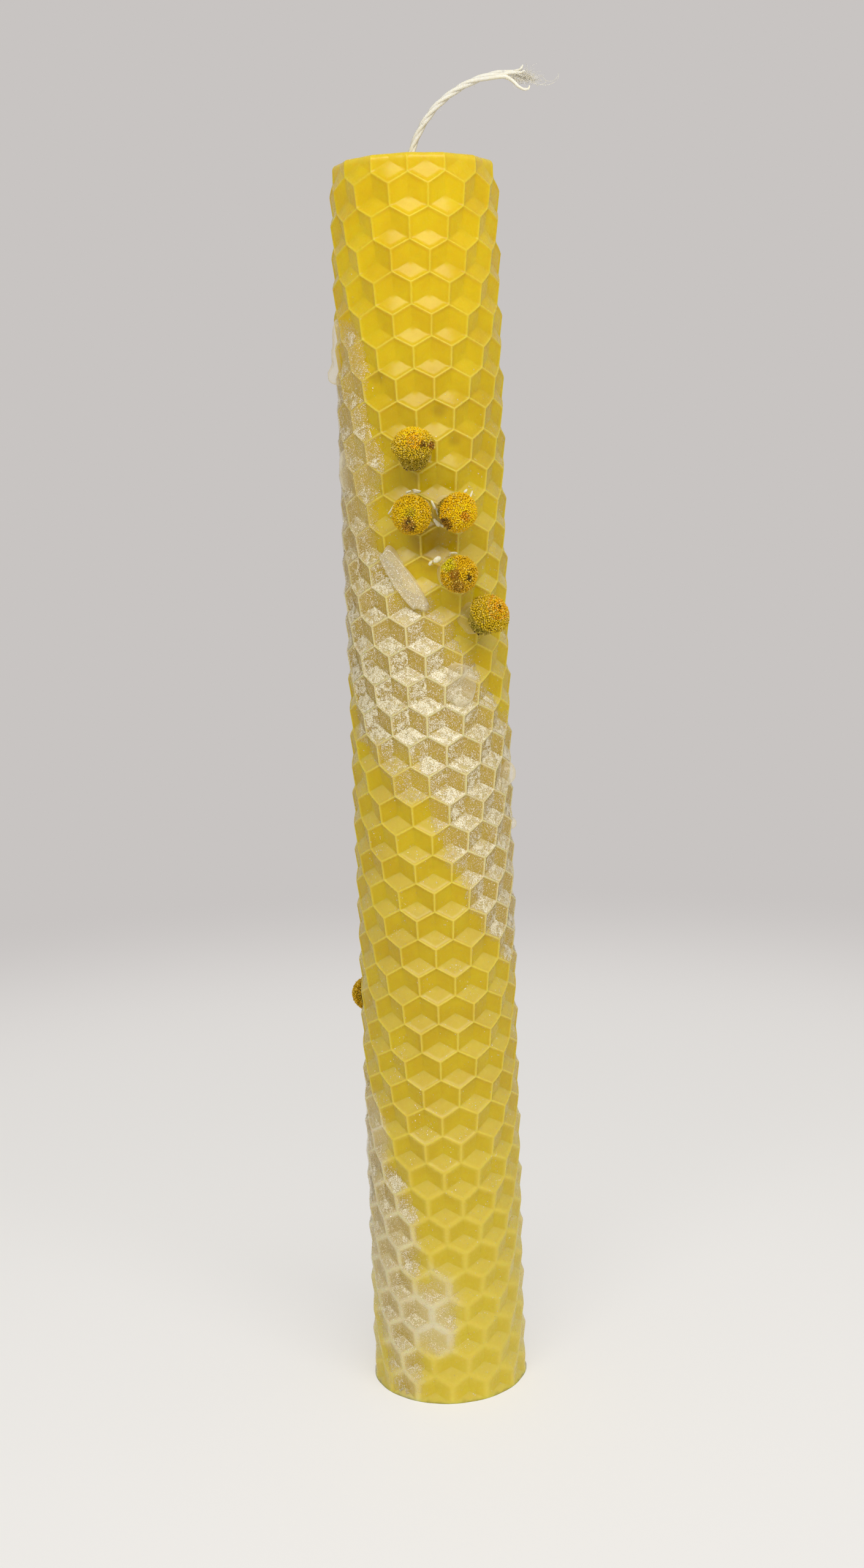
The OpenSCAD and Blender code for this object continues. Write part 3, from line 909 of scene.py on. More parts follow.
def flower_head(number, flower, floret_look, cup_look):
    """A flower head: its dome of florets, and the cup under it."""
    origin, rotation = head = head_place(flower)
    draw = np.random.default_rng(100 + number)
    radius = (FLOWER_DIAMETER + flower["extra"]) / 2
    cup_radius = radius - CUP_STEP
    dome = dome_buds(radius)
    side = side_buds(cup_radius)
    everything = origin + np.concatenate([dome[0], side[0]]) @ rotation.T
    middle = (everything.min(axis=0) + everything.max(axis=0)) / 2

    def add_part(name, node, look, slot, profile, shades, buds, base):
        part = Pile()
        points, faces = lathe(profile, HEAD_SIDES)
        part.put(origin + points @ rotation.T, faces, shades)
        add_buds(part, flower, head, buds, middle, base, draw)
        part.piece(f"{name}_{number}", look, slot, [f"{node}_{number}"])

    ball = ball_radius(radius)
    cap = [(0.02, 0.02)]
    cap += [(math.sqrt(max(0.0, ball ** 2 - (ball - DOME_HEIGHT + height) ** 2)) - BUD_SUNK, height)
            for height in np.linspace(0.02, DOME_HEIGHT - BUD_SUNK - 0.1, 9)]
    cap += [(0.02, DOME_HEIGHT - BUD_SUNK)]
    edge = smooth(0.3, 0.95, np.hypot(dome[0][:, 0], dome[0][:, 1]) / radius)
    base = blend(tone(flower["dome"]), flower["rim"], edge)
    # The dome's body is darkened, a painted shade between the florets
    shades = flat_shade(len(cap) * HEAD_SIDES, flower["rim"], GAP_SHADE)
    add_part("florets", "flower_disc", floret_look, "florets", cap, shades, dome, base)

    low = CUP_BASE / 2
    foot = [(0.02, -CUP_DEPTH + 0.35), (low - 0.55, -CUP_DEPTH + 0.15), (low - 0.25, -CUP_DEPTH),
            (low - 0.05, -CUP_DEPTH + 0.05)]
    body = [(low - 0.08, -CUP_DEPTH + 0.4), (cup_radius - BUD_SUNK, -0.1),
            (cup_radius - BUD_SUNK - 0.2, 0.0), (0.02, 0.0)]
    down = -side[0][:, 2] / CUP_DEPTH
    base = blend(tone(flower["rim"]), flower["side"], smooth(0.0, 0.35, down))
    base = blend(base, BASE_SHADE, smooth(0.84, 1.0, down))
    shades = flat_shade(len(foot) * HEAD_SIDES, BASE_SHADE, FOOT_LIGHT)
    # The cup's body is darkened, a painted shade between the grains
    shades += flat_shade(len(body) * HEAD_SIDES, flower["side"], GAP_SHADE)
    add_part("flower_base", "flower_cup", cup_look, "flower_cup", foot + body, shades, side, base)


# Glue: how far a blob's edge and its underside sink into the cells, its rings and sectors, how blunt its ends
# are, and the dabs' size
GLUE_SINK = 1.15
UNDER_SINK = 1.4 * GLUE_SINK
BLOB_RINGS = (0.0, 0.15, 0.3, 0.45, 0.58, 0.7, 0.8, 0.87, 0.92, 0.96, 1.0)
UNDER_RINGS = (0.9, 0.45)
BLOB_SECTORS = 44
BLOB_ENDS = 1.7
DAB_DIAMETER = 5.2
DAB_RISE = 1.12
# Blobs: mm right, mm below the top, length, width, height of the film, slant,
# and lumps on it as [mm along, mm across, half length, half width, height]
GLUE_BLOBS = {
    "glue_run": (-17.0, 27.8, 11.0, 2.3, 0.5, 86,
                 ((-3.8, 0.0, 1.6, 1.0, 1.25), (-0.6, 0.1, 1.4, 0.9, 0.45), (2.6, -0.1, 1.6, 0.8, 0.3))),
    "glue_lump": (-14.4, 46.0, 6.8, 3.2, 0.5, 86,
                  ((1.2, 0.2, 2.0, 1.2, 0.4), (-1.6, -0.2, 1.5, 1.0, 0.35))),
    "glue_strip": (-2.8, 62.7, 12.4, 3.5, 0.6, -58,
                   ((-4.0, 0.1, 1.3, 0.9, 0.25), (-1.2, -0.2, 1.2, 0.8, 0.2), (2.2, 0.2, 1.4, 0.9, 0.25),
                    (4.6, 0.0, 1.0, 0.8, 0.2))),
    "glue_puddle": (5.7, 79.4, 7.6, 5.4, 0.22, 80,
                    ((2.4, 0.9, 1.5, 1.0, 1.0), (-1.9, -0.2, 0.9, 1.8, 0.85))),
    "glue_bead": (15.5, 95.0, 4.4, 2.9, 0.9, 88, ((0.2, 0.0, 1.6, 1.1, 0.5),)),
}
STRIP_RIM = 0.3


def blob_shell(right, below, length, width, height, slant, lumps=(), rim=0.0, seed=1):
    """A rounded blob of clear glue, sunk into the comb, that follows the candle's curve."""
    draw = random.Random(seed)
    waves = [(count, draw.uniform(0, 6.3), draw.uniform(0.02, 0.06)) for count in (2, 3, 5)]
    turn = 2 * math.pi * np.arange(BLOB_SECTORS) / BLOB_SECTORS
    swell = 1 + sum(size * np.sin(count * turn + phase) for count, phase, size in waves)
    reach = (length - width) / 2 * np.clip(BLOB_ENDS * np.cos(turn), -1, 1) + width / 2 * np.cos(turn)
    lean = math.radians(slant)
    loops = []
    for ring in BLOB_RINGS + UNDER_RINGS:
        along = ring * swell * reach
        across = ring * swell * width / 2 * np.sin(turn)
        rise = height * (1 - 0.7 * ring ** 2.4) + rim * math.exp(-((ring - 0.8) / 0.12) ** 2)
        for at, off, long, wide, lump in lumps:
            rise = rise + lump * np.exp(-(((along - at) / long) ** 2 + ((across - off) / wide) ** 2) ** 2)
        rise = rise - (rise + GLUE_SINK) * smooth(0.84, 1.0, ring)
        if len(loops) >= len(BLOB_RINGS):
            rise = -UNDER_SINK
        angle = angle_of(right) + angle_of(along * math.cos(lean) - across * math.sin(lean))
        z = CANDLE_HEIGHT - below + along * math.sin(lean) + across * math.cos(lean)
        loops.append(polar(outside_radius(angle) + rise, angle, z))
    points = np.concatenate([loops[0][:1]] + loops[1:])
    faces = [(0, 1 + (n + 1) % BLOB_SECTORS, 1 + n) for n in range(BLOB_SECTORS)]
    faces += [tuple(1 + n for n in face) for face in ring_faces(len(loops) - 1, BLOB_SECTORS)]
    faces.append(tuple(range(len(points) - BLOB_SECTORS, len(points))))
    return points, faces


def add_glue(clear, thin, glittery):
    """The dabs and blobs of clear glue. Gives the blobs' shells, because the strip's holds glitter."""
    for number, flower in enumerate(FLOWERS, 1):
        tilt, turn = lean_of(flower)
        right = flower["right"] - CUP_DEPTH / 2 * math.cos(tilt) * math.sin(turn)
        below = SPRAY_DROP + flower["below"] + CUP_DEPTH / 2 * math.sin(tilt)
        points, faces = blob_shell(right, below, DAB_DIAMETER, DAB_DIAMETER, DAB_RISE, 0, seed=number)
        add_piece(f"clear_dab_{number}", points, faces, thin, "glue", [f"glue_dab_{number}"], outward=True)
    shells = {}
    for seed, (name, numbers) in enumerate(GLUE_BLOBS.items(), 20):
        rim, look = (STRIP_RIM, glittery) if name == "glue_strip" else (0.0, clear)
        shells[name] = blob_shell(*numbers, rim=rim, seed=seed)
        add_piece(name.replace("glue", "clear"), *shells[name], look, "glue", [name], outward=True)
    return shells


# Dried crumbs of glue at the heads: head, mm right and above its middle, mm out from the wax,
# half sizes along, across and out, and slant
CRUMBS = (
    (2, 0.5, 3.35, 1.2, 0.75, 0.28, 0.3, -12), (2, -0.6, 3.3, 1.0, 0.45, 0.22, 0.3, 20),
    (2, 2.75, 1.1, 1.6, 1.05, 0.22, 0.35, -66), (2, 3.3, 0.2, 1.2, 0.5, 0.2, 0.3, -80),
    (2, 3.25, -1.5, 0.7, 0.8, 0.35, 0.3, -48), (2, 4.0, -2.0, 0.5, 0.55, 0.2, 0.2, -30),
    (2, -3.0, 1.0, 0.6, 1.3, 0.16, 0.2, 52), (3, 2.9, 2.1, 1.1, 0.8, 0.18, 0.3, 62),
    (3, 2.2, 2.9, 0.9, 0.5, 0.2, 0.25, 40), (4, -2.1, 2.2, 1.5, 0.75, 0.42, 0.3, 28),
    (4, -2.9, 1.7, 1.0, 0.5, 0.25, 0.25, 50), (4, 0.4, 3.0, 0.8, 0.6, 0.2, 0.25, -4),
)
# The spur of glue at the right edge: mm right, mm below the top, mm out from the wax, half sizes and slant
SPUR = (17.6, 103.6, 0.0, 0.95, 0.45, 0.8, 60)
SPUR_SEED = 90
CRUMB_PROFILE = ((0.02, -1.0), (0.55, -0.82), (0.9, -0.4), (1.0, 0.0), (0.86, 0.48), (0.5, 0.86), (0.02, 1.0))
CRUMB_SIDES = 10


def surface_axes(angle, slant):
    """Axes on the outside at an angle: along the slant, across it, and outward."""
    turn = math.radians(angle)
    lean = math.radians(slant)
    right = np.array([math.cos(turn), math.sin(turn), 0])
    up = np.array([0, 0, 1.0])
    along = right * math.cos(lean) + up * math.sin(lean)
    across = up * math.cos(lean) - right * math.sin(lean)
    return np.stack([along, across, [math.sin(turn), -math.cos(turn), 0]])


def crumb_shell(right, below, out, long, wide, deep, slant, seed):
    """A small uneven closed lump at a place on the outside."""
    draw = random.Random(seed)
    points, faces = lathe(CRUMB_PROFILE, CRUMB_SIDES)
    waves = [(draw.uniform(1, 3), draw.uniform(0, 6.3), draw.randrange(3)) for _ in range(5)]
    swell = 1 + 0.12 * sum(np.sin(rate * 2 * points[:, side] + phase) for rate, phase, side in waves)
    local = points * swell[:, None] * [long, wide, deep]
    angle = angle_of(right)
    return on_wax(angle, below, out) + local @ surface_axes(angle, slant), faces


def add_crumbs(material, glue):
    """The dried crumbs at the heads, and the clear spur at the right edge."""
    crumbs = Pile()
    for seed, (number, right, up, *rest) in enumerate(CRUMBS):
        flower = FLOWERS[number - 1]
        crumbs.put(*crumb_shell(flower["right"] + right, SPRAY_DROP + flower["below"] - up, *rest, seed))
    crumbs.piece("glue_crumbs", material, "glue")
    add_piece("clear_spur", *crumb_shell(*SPUR, SPUR_SEED), glue, "glue", outward=True)


# Wick: its strands, its way above the candle as [mm right, mm above the top], how many points before its end
# the strands part, and their frayed ends and loose fibres as [mm right, mm back, mm above the top]
STRAND_RADIUS = 0.36
STRAND_OFFSET = 0.2
STRAND_LAY = 8.0
STRAND_SIDES = 8
CORE_SHARE = 1.1
FRAY_RADIUS = 0.14
TIP_RADIUS = 0.05
WICK_BEND = ((0.4, 2), (1, 3.7), (1.9, 5.4), (3, 7.0), (4.3, 8.5), (5.9, 9.8),
             (7.8, 11.0), (10, 12.0), (12.4, 12.7), (14.9, 13.1))
STRAND_STOPS = (3, 3, 12)
FRAYED_ENDS = (
    ((15.6, 0.1, 13.2), (16.6, 0.2, 13.3), (17.4, 0.2, 13.6), (17.75, 0.15, 14.2)),
    ((15.6, -0.2, 13.0), (16.6, -0.3, 13.0), (17.4, -0.35, 13.0), (18.0, -0.3, 13.3)),
    ((14.5, -0.4, 12.5), (15.5, -0.5, 12.2), (16.3, -0.6, 11.6), (17.0, -0.7, 10.9), (17.8, -0.6, 10.5),
     (18.5, -0.4, 10.6), (18.7, -0.3, 11.1)),
)
LONG_FIBRES = (
    ((17.5, -0.2, 12.4), (19.0, -0.3, 11.5), (21.4, -0.2, 11.1), (23.0, 0.1, 11.9), (23.2, 0.2, 12.9)),
    ((17.2, 0.0, 12.5), (19.2, 0.2, 12.5), (20.8, 0.3, 11.9), (22.3, 0.3, 11.7), (23.1, 0.1, 12.4)),
    ((17.6, 0.1, 12.2), (18.8, 0.4, 12.9), (20.4, 0.5, 12.6), (21.2, 0.4, 11.6), (20.2, 0.2, 11.2)),
    ((16.8, 0.1, 13.0), (17.9, 0.3, 13.3), (18.4, 0.3, 14.0), (18.2, 0.2, 14.4)),
)
PUFF_MIDDLE = (19.0, -0.1, 12.2)
PUFF_LENGTH = 3.4
PUFF_FIBRES = 170
FUZZ_FIBRES = 24
FIBRE_RADIUS = 0.018


def curve_through(points, parts):
    """A smooth line through points, with some parts between each two."""
    points = np.asarray(points, float)
    padded = np.concatenate([2 * points[:1] - points[1:2], points, 2 * points[-1:] - points[-2:-1]])
    line = []
    for a, b, c, d in zip(padded, padded[1:], padded[2:], padded[3:]):
        for t in np.linspace(0, 1, parts, endpoint=False):
            line.append(0.5 * (2 * b + (c - a) * t + (2 * a - 5 * b + 4 * c - d) * t ** 2
                               + (3 * b - a - 3 * c + d) * t ** 3))
    return np.array(line + [points[-1]])


def ways_along(line):
    """The line's direction at each of its points."""
    return unit(np.gradient(line, axis=0))


def tube(line, radii, sides):
    """A closed tube along a line."""
    ways = ways_along(line)
    first = np.cross(ways, [0.0, 1.0, 0.0])
    short = np.linalg.norm(first, axis=1) < 0.2
    first[short] = np.cross(ways[short], [1.0, 0.0, 0.0])
    first = unit(first)
    second = np.cross(ways, first)
    around = circle(1.0, 0.0, sides)
    rings = around[:, :1] * first[:, None] + around[:, 1:2] * second[:, None]
    points = line[:, None] + np.reshape(radii, (-1, 1, 1)) * rings
    return points.reshape(-1, 3), closed_faces(len(line), sides)


def wick_line():
    """The middle of the twisted wick from the base up to where it frays."""
    bend = [(x, 0.0, CANDLE_HEIGHT + up) for x, up in WICK_BEND]
    upright = [(0.0, 0.0, z) for z in np.linspace(0, CANDLE_HEIGHT - 2, 110)]
    return np.concatenate([upright, curve_through([(0, 0, CANDLE_HEIGHT - 0.5)] + bend, 8)])


def above_top(points):
    """Places given from the top's middle, in the frame."""
    return np.asarray(points, float) + [0, 0, CANDLE_HEIGHT]


def add_strands(wick, line, sideways):
    """A core, and the twisted strands on it, which part at the frayed end."""
    wick.put(*tube(line, np.full(len(line), CORE_SHARE * STRAND_RADIUS), STRAND_SIDES))
    along = np.concatenate([[0], np.cumsum(np.linalg.norm(np.diff(line, axis=0), axis=1))])
    for strand, (stop, end) in enumerate(zip(STRAND_STOPS, FRAYED_ENDS)):
        turn = 2 * math.pi * (along / STRAND_LAY + strand / len(FRAYED_ENDS))[:, None]
        path = line + STRAND_OFFSET * (np.cos(turn) * sideways + np.sin(turn) * [0, 1.0, 0])
        path = path[:-stop]
        fray = curve_through(np.concatenate([path[-1:], above_top(end)]), 6)[1:]
        thin = np.linspace(STRAND_RADIUS, FRAY_RADIUS, len(fray))
        thin[-1] = TIP_RADIUS
        radii = np.concatenate([np.full(len(path), STRAND_RADIUS), thin])
        wick.put(*tube(np.concatenate([path, fray]), radii, STRAND_SIDES))


def add_fibres(wick, line, sideways):
    """Long fibres and a puff at the frayed end, and fuzz along the free wick."""
    draw = np.random.default_rng(7)

    def put(path, thick, thin):
        wick.put(*tube(path, np.linspace(thick, thin, len(path)) * FIBRE_RADIUS, 3))

    for fibre in LONG_FIBRES:
        path = curve_through(above_top(fibre), 7)
        for spare in (0.0, 0.08):
            put(path + spare * draw.normal(0, 1, 3), 1.3, 1.3)
    middle = above_top(PUFF_MIDDLE)
    for _ in range(PUFF_FIBRES):
        back = draw.uniform(0, PUFF_LENGTH)
        start = middle + [-back, 0, 0.1 * back] + draw.normal(0, 1, 3) * [0.3, 0.2, 0.28]
        steps = np.cumsum(draw.normal(0, 1, (4, 3)) * [0.36, 0.2, 0.28] + [0.16, 0, 0.0], axis=0)
        put(curve_through(np.concatenate([[start], start + steps]), 4), 2.0, 0.9)
    ways = ways_along(line)
    free = np.flatnonzero(line[:, 2] > CANDLE_HEIGHT + 0.5)
    for _ in range(FUZZ_FIBRES):
        n = int(draw.choice(free))
        turn = draw.uniform(0, 2 * math.pi)
        out = math.cos(turn) * sideways[n] + math.sin(turn) * np.array([0, 1.0, 0])
        start = line[n] + 0.5 * out
        tip = start + draw.uniform(0.25, 0.8) * out + draw.normal(0, 0.35, 3) + 0.4 * ways[n]
        put(curve_through([start, (start + tip) / 2 + draw.normal(0, 0.15, 3), tip], 3), 1.0, 0.5)


def add_wick(material):
    """The twisted wick with its fibres."""
    line = wick_line()
    ways = ways_along(line)
    sideways = np.stack([ways[:, 2], 0 * ways[:, 1], -ways[:, 0]], axis=1)
    wick = Pile()
    add_strands(wick, line, sideways)
    add_fibres(wick, line, sideways)
    wick.piece("wick_strands", material, "wick", ["wick"])


# Glaze film: its thickness above and below the wax's face, where it ends, how far it fills cells and pools,
# and how lumpy the pools are
FILM_THICKNESS = 0.07
FILM_UNDER = 0.08
FILM_EDGE = 0.15
CELL_FILL = 0.14
POOL_FILL = 0.55
POOL_LUMPS = 0.1


def film_rise(angle, z, drop, cover):
    """How far the film stands off the wax."""
    pool = pool_share(angle, z)
    fill = CELL_FILL + (POOL_FILL - CELL_FILL) * pool
    lumps = POOL_LUMPS * pool * (1 + wobble(angle, z, 32, 30, 3))
    return (FILM_THICKNESS + fill * np.maximum(drop - 0.2, 0) + lumps) * smooth(FILM_EDGE, 0.5, cover)


def glaze_cover(angle, z):
    """How far glaze covers a place on the outside, from 0 to 1."""
    return np.maximum(band_share(angle, z), pool_share(angle, z))


def glaze_film(skin, material):
    """A thin closed film of glue on the wax inside the band and the pools."""
    points, faces, kept = skin
    angle, z = unrolled(points)
    cover = glaze_cover(angle, z) * (kept["step"] < 360 / HALF_ANGLE) * (z > 0.5) * (z < CANDLE_HEIGHT - 1)
    chosen = [face for face in faces if min(cover[n] for n in face) > FILM_EDGE]
    corners, middles, normals, _ = face_sizes(points, chosen)
    ridge = kept["ridge"][corners].mean(axis=1)
    # Glitter grains, with more on floors that face up and right as a painted sheen
    grains = flake_weight(middles, normals, ridge) * (1 - 0.8 * ridge)
    used = sorted({n for face in chosen for n in face})
    number = {n: place for place, n in enumerate(used)}
    size = len(used)
    out = away(points[used])
    rise = film_rise(angle[used], z[used], kept["drop"][used], cover[used])
    both = np.concatenate([points[used] + out * (rise + 0.01)[:, None], points[used] - out * FILM_UNDER])
    shell = [tuple(number[n] for n in face) for face in chosen]
    sides = dict.fromkeys((a, b) for face in shell for a, b in zip(face, face[1:] + face[:1]))
    edges = [(a, b) for a, b in sides if (b, a) not in sides]
    full = shell + [tuple(n + size for n in reversed(face)) for face in shell]
    full += [(b, a, a + size, b + size) for a, b in edges]
    grains = np.concatenate([np.clip(grains, 0, 1)] * 2 + [np.zeros(len(edges))])
    pool = np.tile(pool_share(angle[used], z[used]), 2)
    add_piece("glitter_glue_film", both, full, material, "glitter_glaze", ["glitter_glaze"],
              values={"pool": pool}, face_values={"cover": grains})


# Glitter flakes: how many, their sizes, tilt, shape and colours, and how deep they lie in the strip
FLAKE_COUNT = 46000
STRIP_FLAKES = 1100
FLAKE_SIZES = (0.045, 0.14)
FLAKE_DEPTH = 0.3
FLAKE_TILT = 0.35
FLAKE_SHADES = ((214, 188, 124), (246, 232, 192), (255, 250, 230), (255, 248, 222), (244, 242, 238))
FLECK_SHARE = 0.03
FLAKE_POINTS = ((1, 0, 0), (-0.5, 0.87, 0), (-0.5, -0.87, 0), (0, 0, 1))
FLAKE_FACES = ((0, 2, 1), (0, 1, 3), (1, 2, 3), (2, 0, 3))
STRIP_DEPTHS = (-0.04, 0.03)


def face_sizes(points, faces):
    """Corners, middles, normals and areas of faces with three or four corners."""
    corners = np.array([(*face[:3], face[3] if len(face) > 3 else face[2]) for face in faces])
    a, b, c, d = (points[corners[:, n]] for n in range(4))
    normal = np.cross(c - a, d - b) / 2
    area = np.linalg.norm(normal, axis=1)
    return corners, points[corners].mean(axis=1), normal / np.maximum(area, 1e-9)[:, None], area


def places_on(points, corners, weight, count, draw):
    """So many faces, drawn by their weights, and a place on each."""
    chosen = draw.choice(len(corners), count, p=weight / weight.sum())
    u, v = draw.random((2, count, 1))
    a, b, c, d = (points[corners[chosen, n]] for n in range(4))
    return chosen, a * (1 - u) * (1 - v) + b * u * (1 - v) + c * u * v + d * (1 - u) * v


def flake_weight(middles, normals, ridge):
    """How thickly glitter lies: most on floors that face up, least on those that face down and left; the
    extra on floors that face up and right is also a painted sheen from the lamp.
    """
    angle, z = unrolled(middles)
    turn = np.radians(angle)
    across = normals[:, 0] * np.cos(turn) + normals[:, 1] * np.sin(turn)
    upward = facing_up(normals)
    rightward = smooth(-0.05, 0.2, across)
    # Floors that face up and right get more glitter, which also paints sheen from the lamp on them
    lie = (0.18 + 0.82 * upward + 0.34 * rightward * (1 - upward)) * (1 + 0.05 * smooth(5, 40, -angle))
    patchy = 0.55 + 0.45 * np.clip(1 + wobble(angle, z, 41, 24, 7), 0, 2)
    flecks = FLECK_SHARE * (1 + 7 * np.maximum(0, wobble(angle, z, 42, 10, 18))) * (1 - smooth(150, 170, z))
    thick = glaze_cover(angle, z) * lie * patchy * (1 - 0.55 * pool_share(angle, z))
    return (thick + flecks * (0.35 + 0.65 * upward)) * (1 - 0.6 * ridge)


def skin_flakes(skin, draw):
    """Places and normals of the flakes in the film."""
    points, faces, kept = skin
    corners, middles, normals, area = face_sizes(points, faces)
    step, ridge, drop = (kept[key][corners].mean(axis=1) for key in ("step", "ridge", "drop"))
    shown = (step < 360 / HALF_ANGLE) * (middles[:, 2] > 1)
    # More flakes on floors that face up and right, partly a painted sheen
    weight = area * flake_weight(middles, normals, ridge) * shown
    chosen, places = places_on(points, corners, weight, FLAKE_COUNT, draw)
    angle, z = unrolled(places)
    rise = film_rise(angle, z, drop[chosen], glaze_cover(angle, z))
    rise = rise * draw.uniform(0.3, 1.0, FLAKE_COUNT) + 0.02
    return places + away(places) * rise[:, None], normals[chosen]


def strip_flakes(strip, draw):
    """Places and normals of the flakes in the strip's outer side."""
    points, faces = strip
    corners, middles, normals, area = face_sizes(points, faces)
    facing = (normals * middles * [1, 1, 0]).sum(axis=1)
    weight = area * (np.abs(facing) > 9) * (np.linalg.norm(middles[:, :2], axis=1) > CANDLE_DIAMETER / 2)
    chosen, places = places_on(points, corners, weight, STRIP_FLAKES, draw)
    places = places - away(places) * draw.uniform(*STRIP_DEPTHS, STRIP_FLAKES)[:, None]
    return places, (normals * np.sign(facing)[:, None])[chosen]


def add_flakes(skin, strip, material):
    """Small flakes of glitter in the film and in the strip."""
    draw = np.random.default_rng(5)
    places, ways = map(np.concatenate, zip(skin_flakes(skin, draw), strip_flakes(strip, draw)))
    count = len(places)
    ways = ways + draw.normal(0, FLAKE_TILT, (count, 3))
    size = FLAKE_SIZES[0] + (FLAKE_SIZES[1] - FLAKE_SIZES[0]) * draw.random(count) ** 2
    sizes = np.stack([size, size * draw.uniform(0.6, 1, count), size * FLAKE_DEPTH], axis=1)
    axes = frames(ways, draw.uniform(0, 360, count))
    shell, copies = scatter(FLAKE_POINTS, FLAKE_FACES, places, axes, sizes)
    tones = np.array([colour(*shade) for shade in FLAKE_SHADES])
    shades = tones[draw.integers(0, len(FLAKE_SHADES), count)]
    add_piece("glitter_flakes", shell, copies, material, "glitter_glaze", shading=False,
              values={"shade": np.repeat(shades, len(FLAKE_POINTS), axis=0)})


# Camera fitted to the photograph: its height and distance from the base, and its angles
PHOTO_HEIGHT = 2560
FOCAL_PIXELS = 3124.5
CAMERA_DISTANCE = 307.7
CAMERA_HEIGHT = 161.25
CAMERA_SIDE = 0.5
CAMERA_PITCH = 10.757
CAMERA_YAW = 0.6
CANDLE_LEAN = 1.762
SENSOR = 36.0


def add_camera():
    data = bpy.data.cameras.new("camera")
    data.sensor_width = SENSOR
    data.lens = SENSOR * FOCAL_PIXELS / PHOTO_HEIGHT
    data.clip_start = 0.01
    lean = Matrix.Rotation(math.radians(CANDLE_LEAN), 4, "Y")
    place = Matrix.Translation((CAMERA_SIDE * MM, -CAMERA_DISTANCE * MM, CAMERA_HEIGHT * MM))
    yaw = Matrix.Rotation(math.radians(CAMERA_YAW), 4, "Z")
    aim = yaw @ Matrix.Rotation(math.radians(90 - CAMERA_PITCH), 4, "X")
    camera = new_object("camera", data)
    camera.matrix_world = lean @ place @ aim
    bpy.context.scene.camera = camera


# Studio: a soft window above the front, and wide soft lamps from both sides
# as [direction from the front, height, width of its disc, strength]
WINDOW_PLACE = (0.06, -0.466, 0.528)
WINDOW_AIM = (0.0, 0.0, 0.13)
WINDOW_WIDTH = 0.95
WINDOW_TALL = 0.29
WINDOW_POWER = 3.3
RIGHT_LAMP = (70.0, 30.0, 70.0, 0.13)
LEFT_LAMP = (-60.0, 40.0, 70.0, 0.02)
WORLD_LIGHT = 0.29
FLOOR_REACH = 4.0
NEAR_FLOOR = 0.06
FAR_FLOOR = 0.35
FLOOR_GLOW = 0.5
BACKDROP = colour(200, 196, 194)


def add_window():
    data = bpy.data.lights.new("window", "AREA")
    data.energy = WINDOW_POWER
    data.shape = "RECTANGLE"
    data.size = WINDOW_WIDTH
    data.size_y = WINDOW_TALL
    lamp = new_object("window", data)
    lamp.location = WINDOW_PLACE
    lamp.rotation_euler = (Vector(WINDOW_AIM) - Vector(WINDOW_PLACE)).to_track_quat("-Z", "Y").to_euler()


def add_lamp(name, direction, height, width, strength):
    data = bpy.data.lights.new(name, "SUN")
    data.energy = strength
    data.angle = math.radians(width)
    lamp = new_object(name, data)
    lamp.rotation_euler = (math.radians(90 - height), 0, math.radians(direction))


def seen_rays(tree):
    """1 for the rays that show a background: those from the camera, reflections and clear pieces."""
    path = tree.nodes.new("ShaderNodeLightPath")
    seen = path.outputs["Is Camera Ray"]
    for ray in ("Is Glossy Ray", "Is Transmission Ray"):
        either = tree.nodes.new("ShaderNodeMath")
        either.operation = "MAXIMUM"
        tree.links.new(seen, either.inputs[0])
        tree.links.new(path.outputs[ray], either.inputs[1])
        seen = either.outputs[0]
    return seen


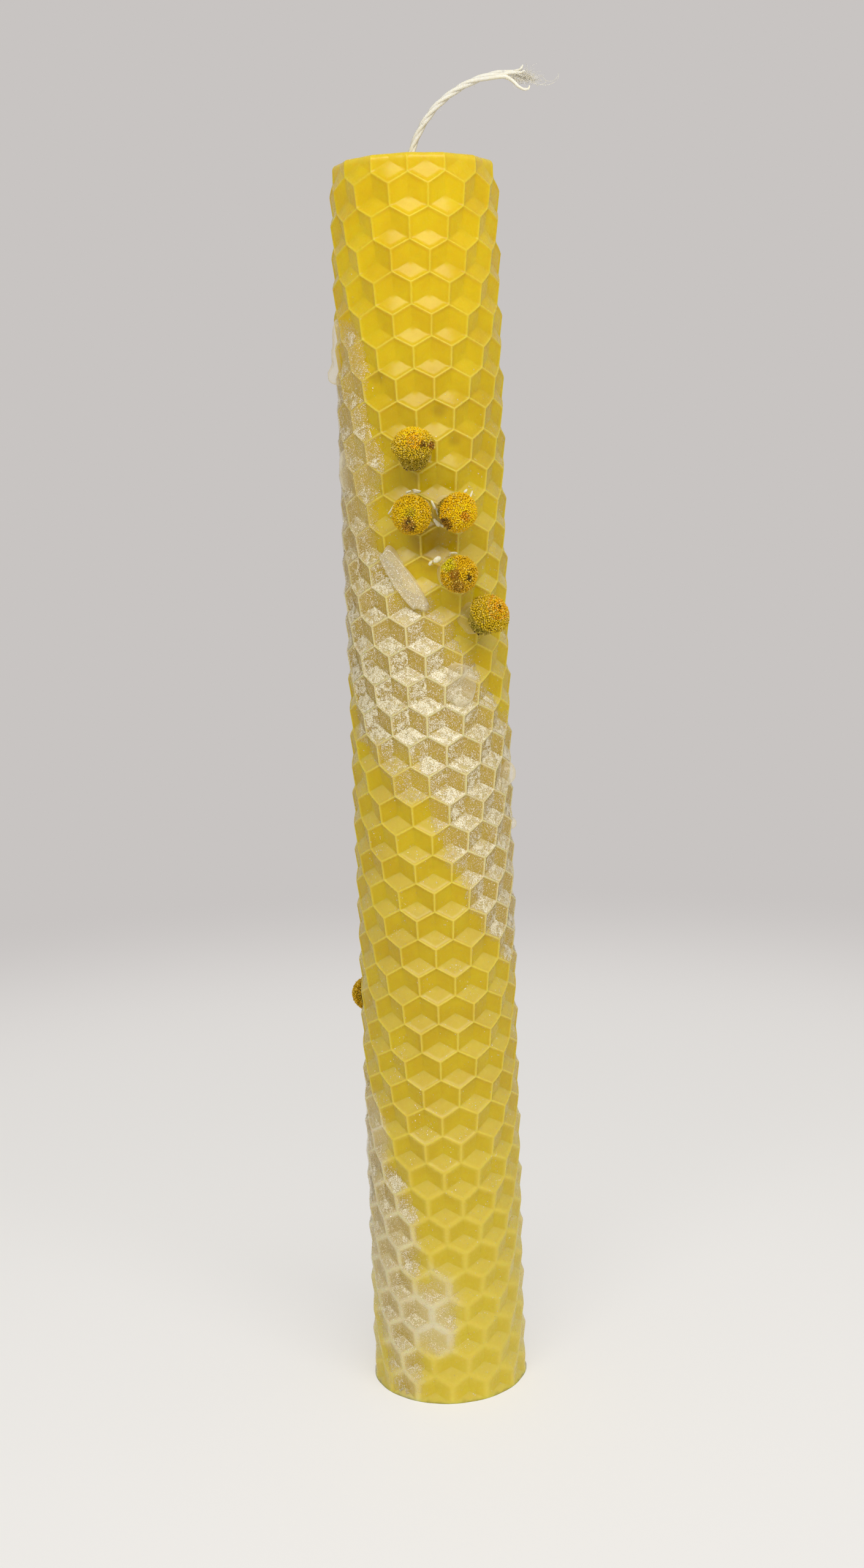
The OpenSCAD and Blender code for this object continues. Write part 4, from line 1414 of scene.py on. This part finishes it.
def add_world():
    world = bpy.data.worlds.new("studio")
    bpy.context.scene.world = world
    world.use_nodes = True
    tree = world.node_tree
    light = tree.nodes["Background"]
    light.inputs["Color"].default_value = (1, 1, 1, 1)
    light.inputs["Strength"].default_value = WORLD_LIGHT
    shown = tree.nodes.new("ShaderNodeBackground")
    shown.inputs["Color"].default_value = BACKDROP
    both = tree.nodes.new("ShaderNodeMixShader")
    tree.links.new(seen_rays(tree), both.inputs[0])
    tree.links.new(light.outputs[0], both.inputs[1])
    tree.links.new(shown.outputs[0], both.inputs[2])
    tree.links.new(both.outputs[0], tree.nodes["World Output"].inputs[0])


def add_floor():
    reach = FLOOR_REACH
    mesh = bpy.data.meshes.new("floor")
    mesh.from_pydata([(-reach, -reach, 0), (reach, -reach, 0), (reach, reach, 0), (-reach, reach, 0)],
                     [], [(0, 1, 2, 3)])
    floor = new_object("floor", mesh)
    shader = Shader("pale_floor")
    shader.set(Base_Color=colour(250, 248, 244), Roughness=0.7)
    far = shader.spread(shader.distance(), NEAR_FLOOR, FAR_FLOOR)
    shown = shader.mix(far, colour(255, 252, 248), BACKDROP)
    backdrop = shader.add("ShaderNodeEmission", Color=shown, Strength=1.0)
    share = shader.spread(far, 0.0, 1.0, FLOOR_GLOW, 1.0)
    share = shader.math("MULTIPLY", share, seen_rays(shader.tree))
    both = shader.add("ShaderNodeMixShader", None, share, shader.main.outputs[0], backdrop.outputs[0])
    shader.put(shader.tree.nodes["Material Output"], "Surface", both.outputs[0])
    mesh.materials.append(shader.material)


add_camera()
add_window()
add_lamp("right", *RIGHT_LAMP)
add_lamp("left", *LEFT_LAMP)
add_world()
add_floor()
skin = comb_skin()
wax_sheet(skin, wax_material())
add_wick(grainy_material("cotton", 3000.0, (250, 241, 216), (255, 250, 234), 0.85, 0.2,
                         (0.3, (1.0, 0.9, 0.7), 0.4)))
glue_look = glue_material("clear_glue", 0.22, 0.72)
thin_look = glue_material("thin_glue", 0.08, 0.4)
strip_look = glue_material("glitter_glue", 0.42, 0.6)
glue_shells = add_glue(glue_look, thin_look, strip_look)
crumb_look = grainy_material("dried_glue", 2500.0, (238, 222, 170), (252, 245, 216), 0.35, 0.5,
                             (0.4, (1.0, 0.8, 0.5), 0.5))
add_crumbs(crumb_look, glue_look)
floret_look = petal_material("floret_yellow", 0.6)
cup_look = petal_material("flower_side", 0.75)
for number, flower in enumerate(FLOWERS, 1):
    flower_head(number, flower, floret_look, cup_look)
glaze_film(skin, film_material())
add_flakes(skin, glue_shells["glue_strip"], flake_material())

bpy.context.scene.view_settings.view_transform = "Standard"
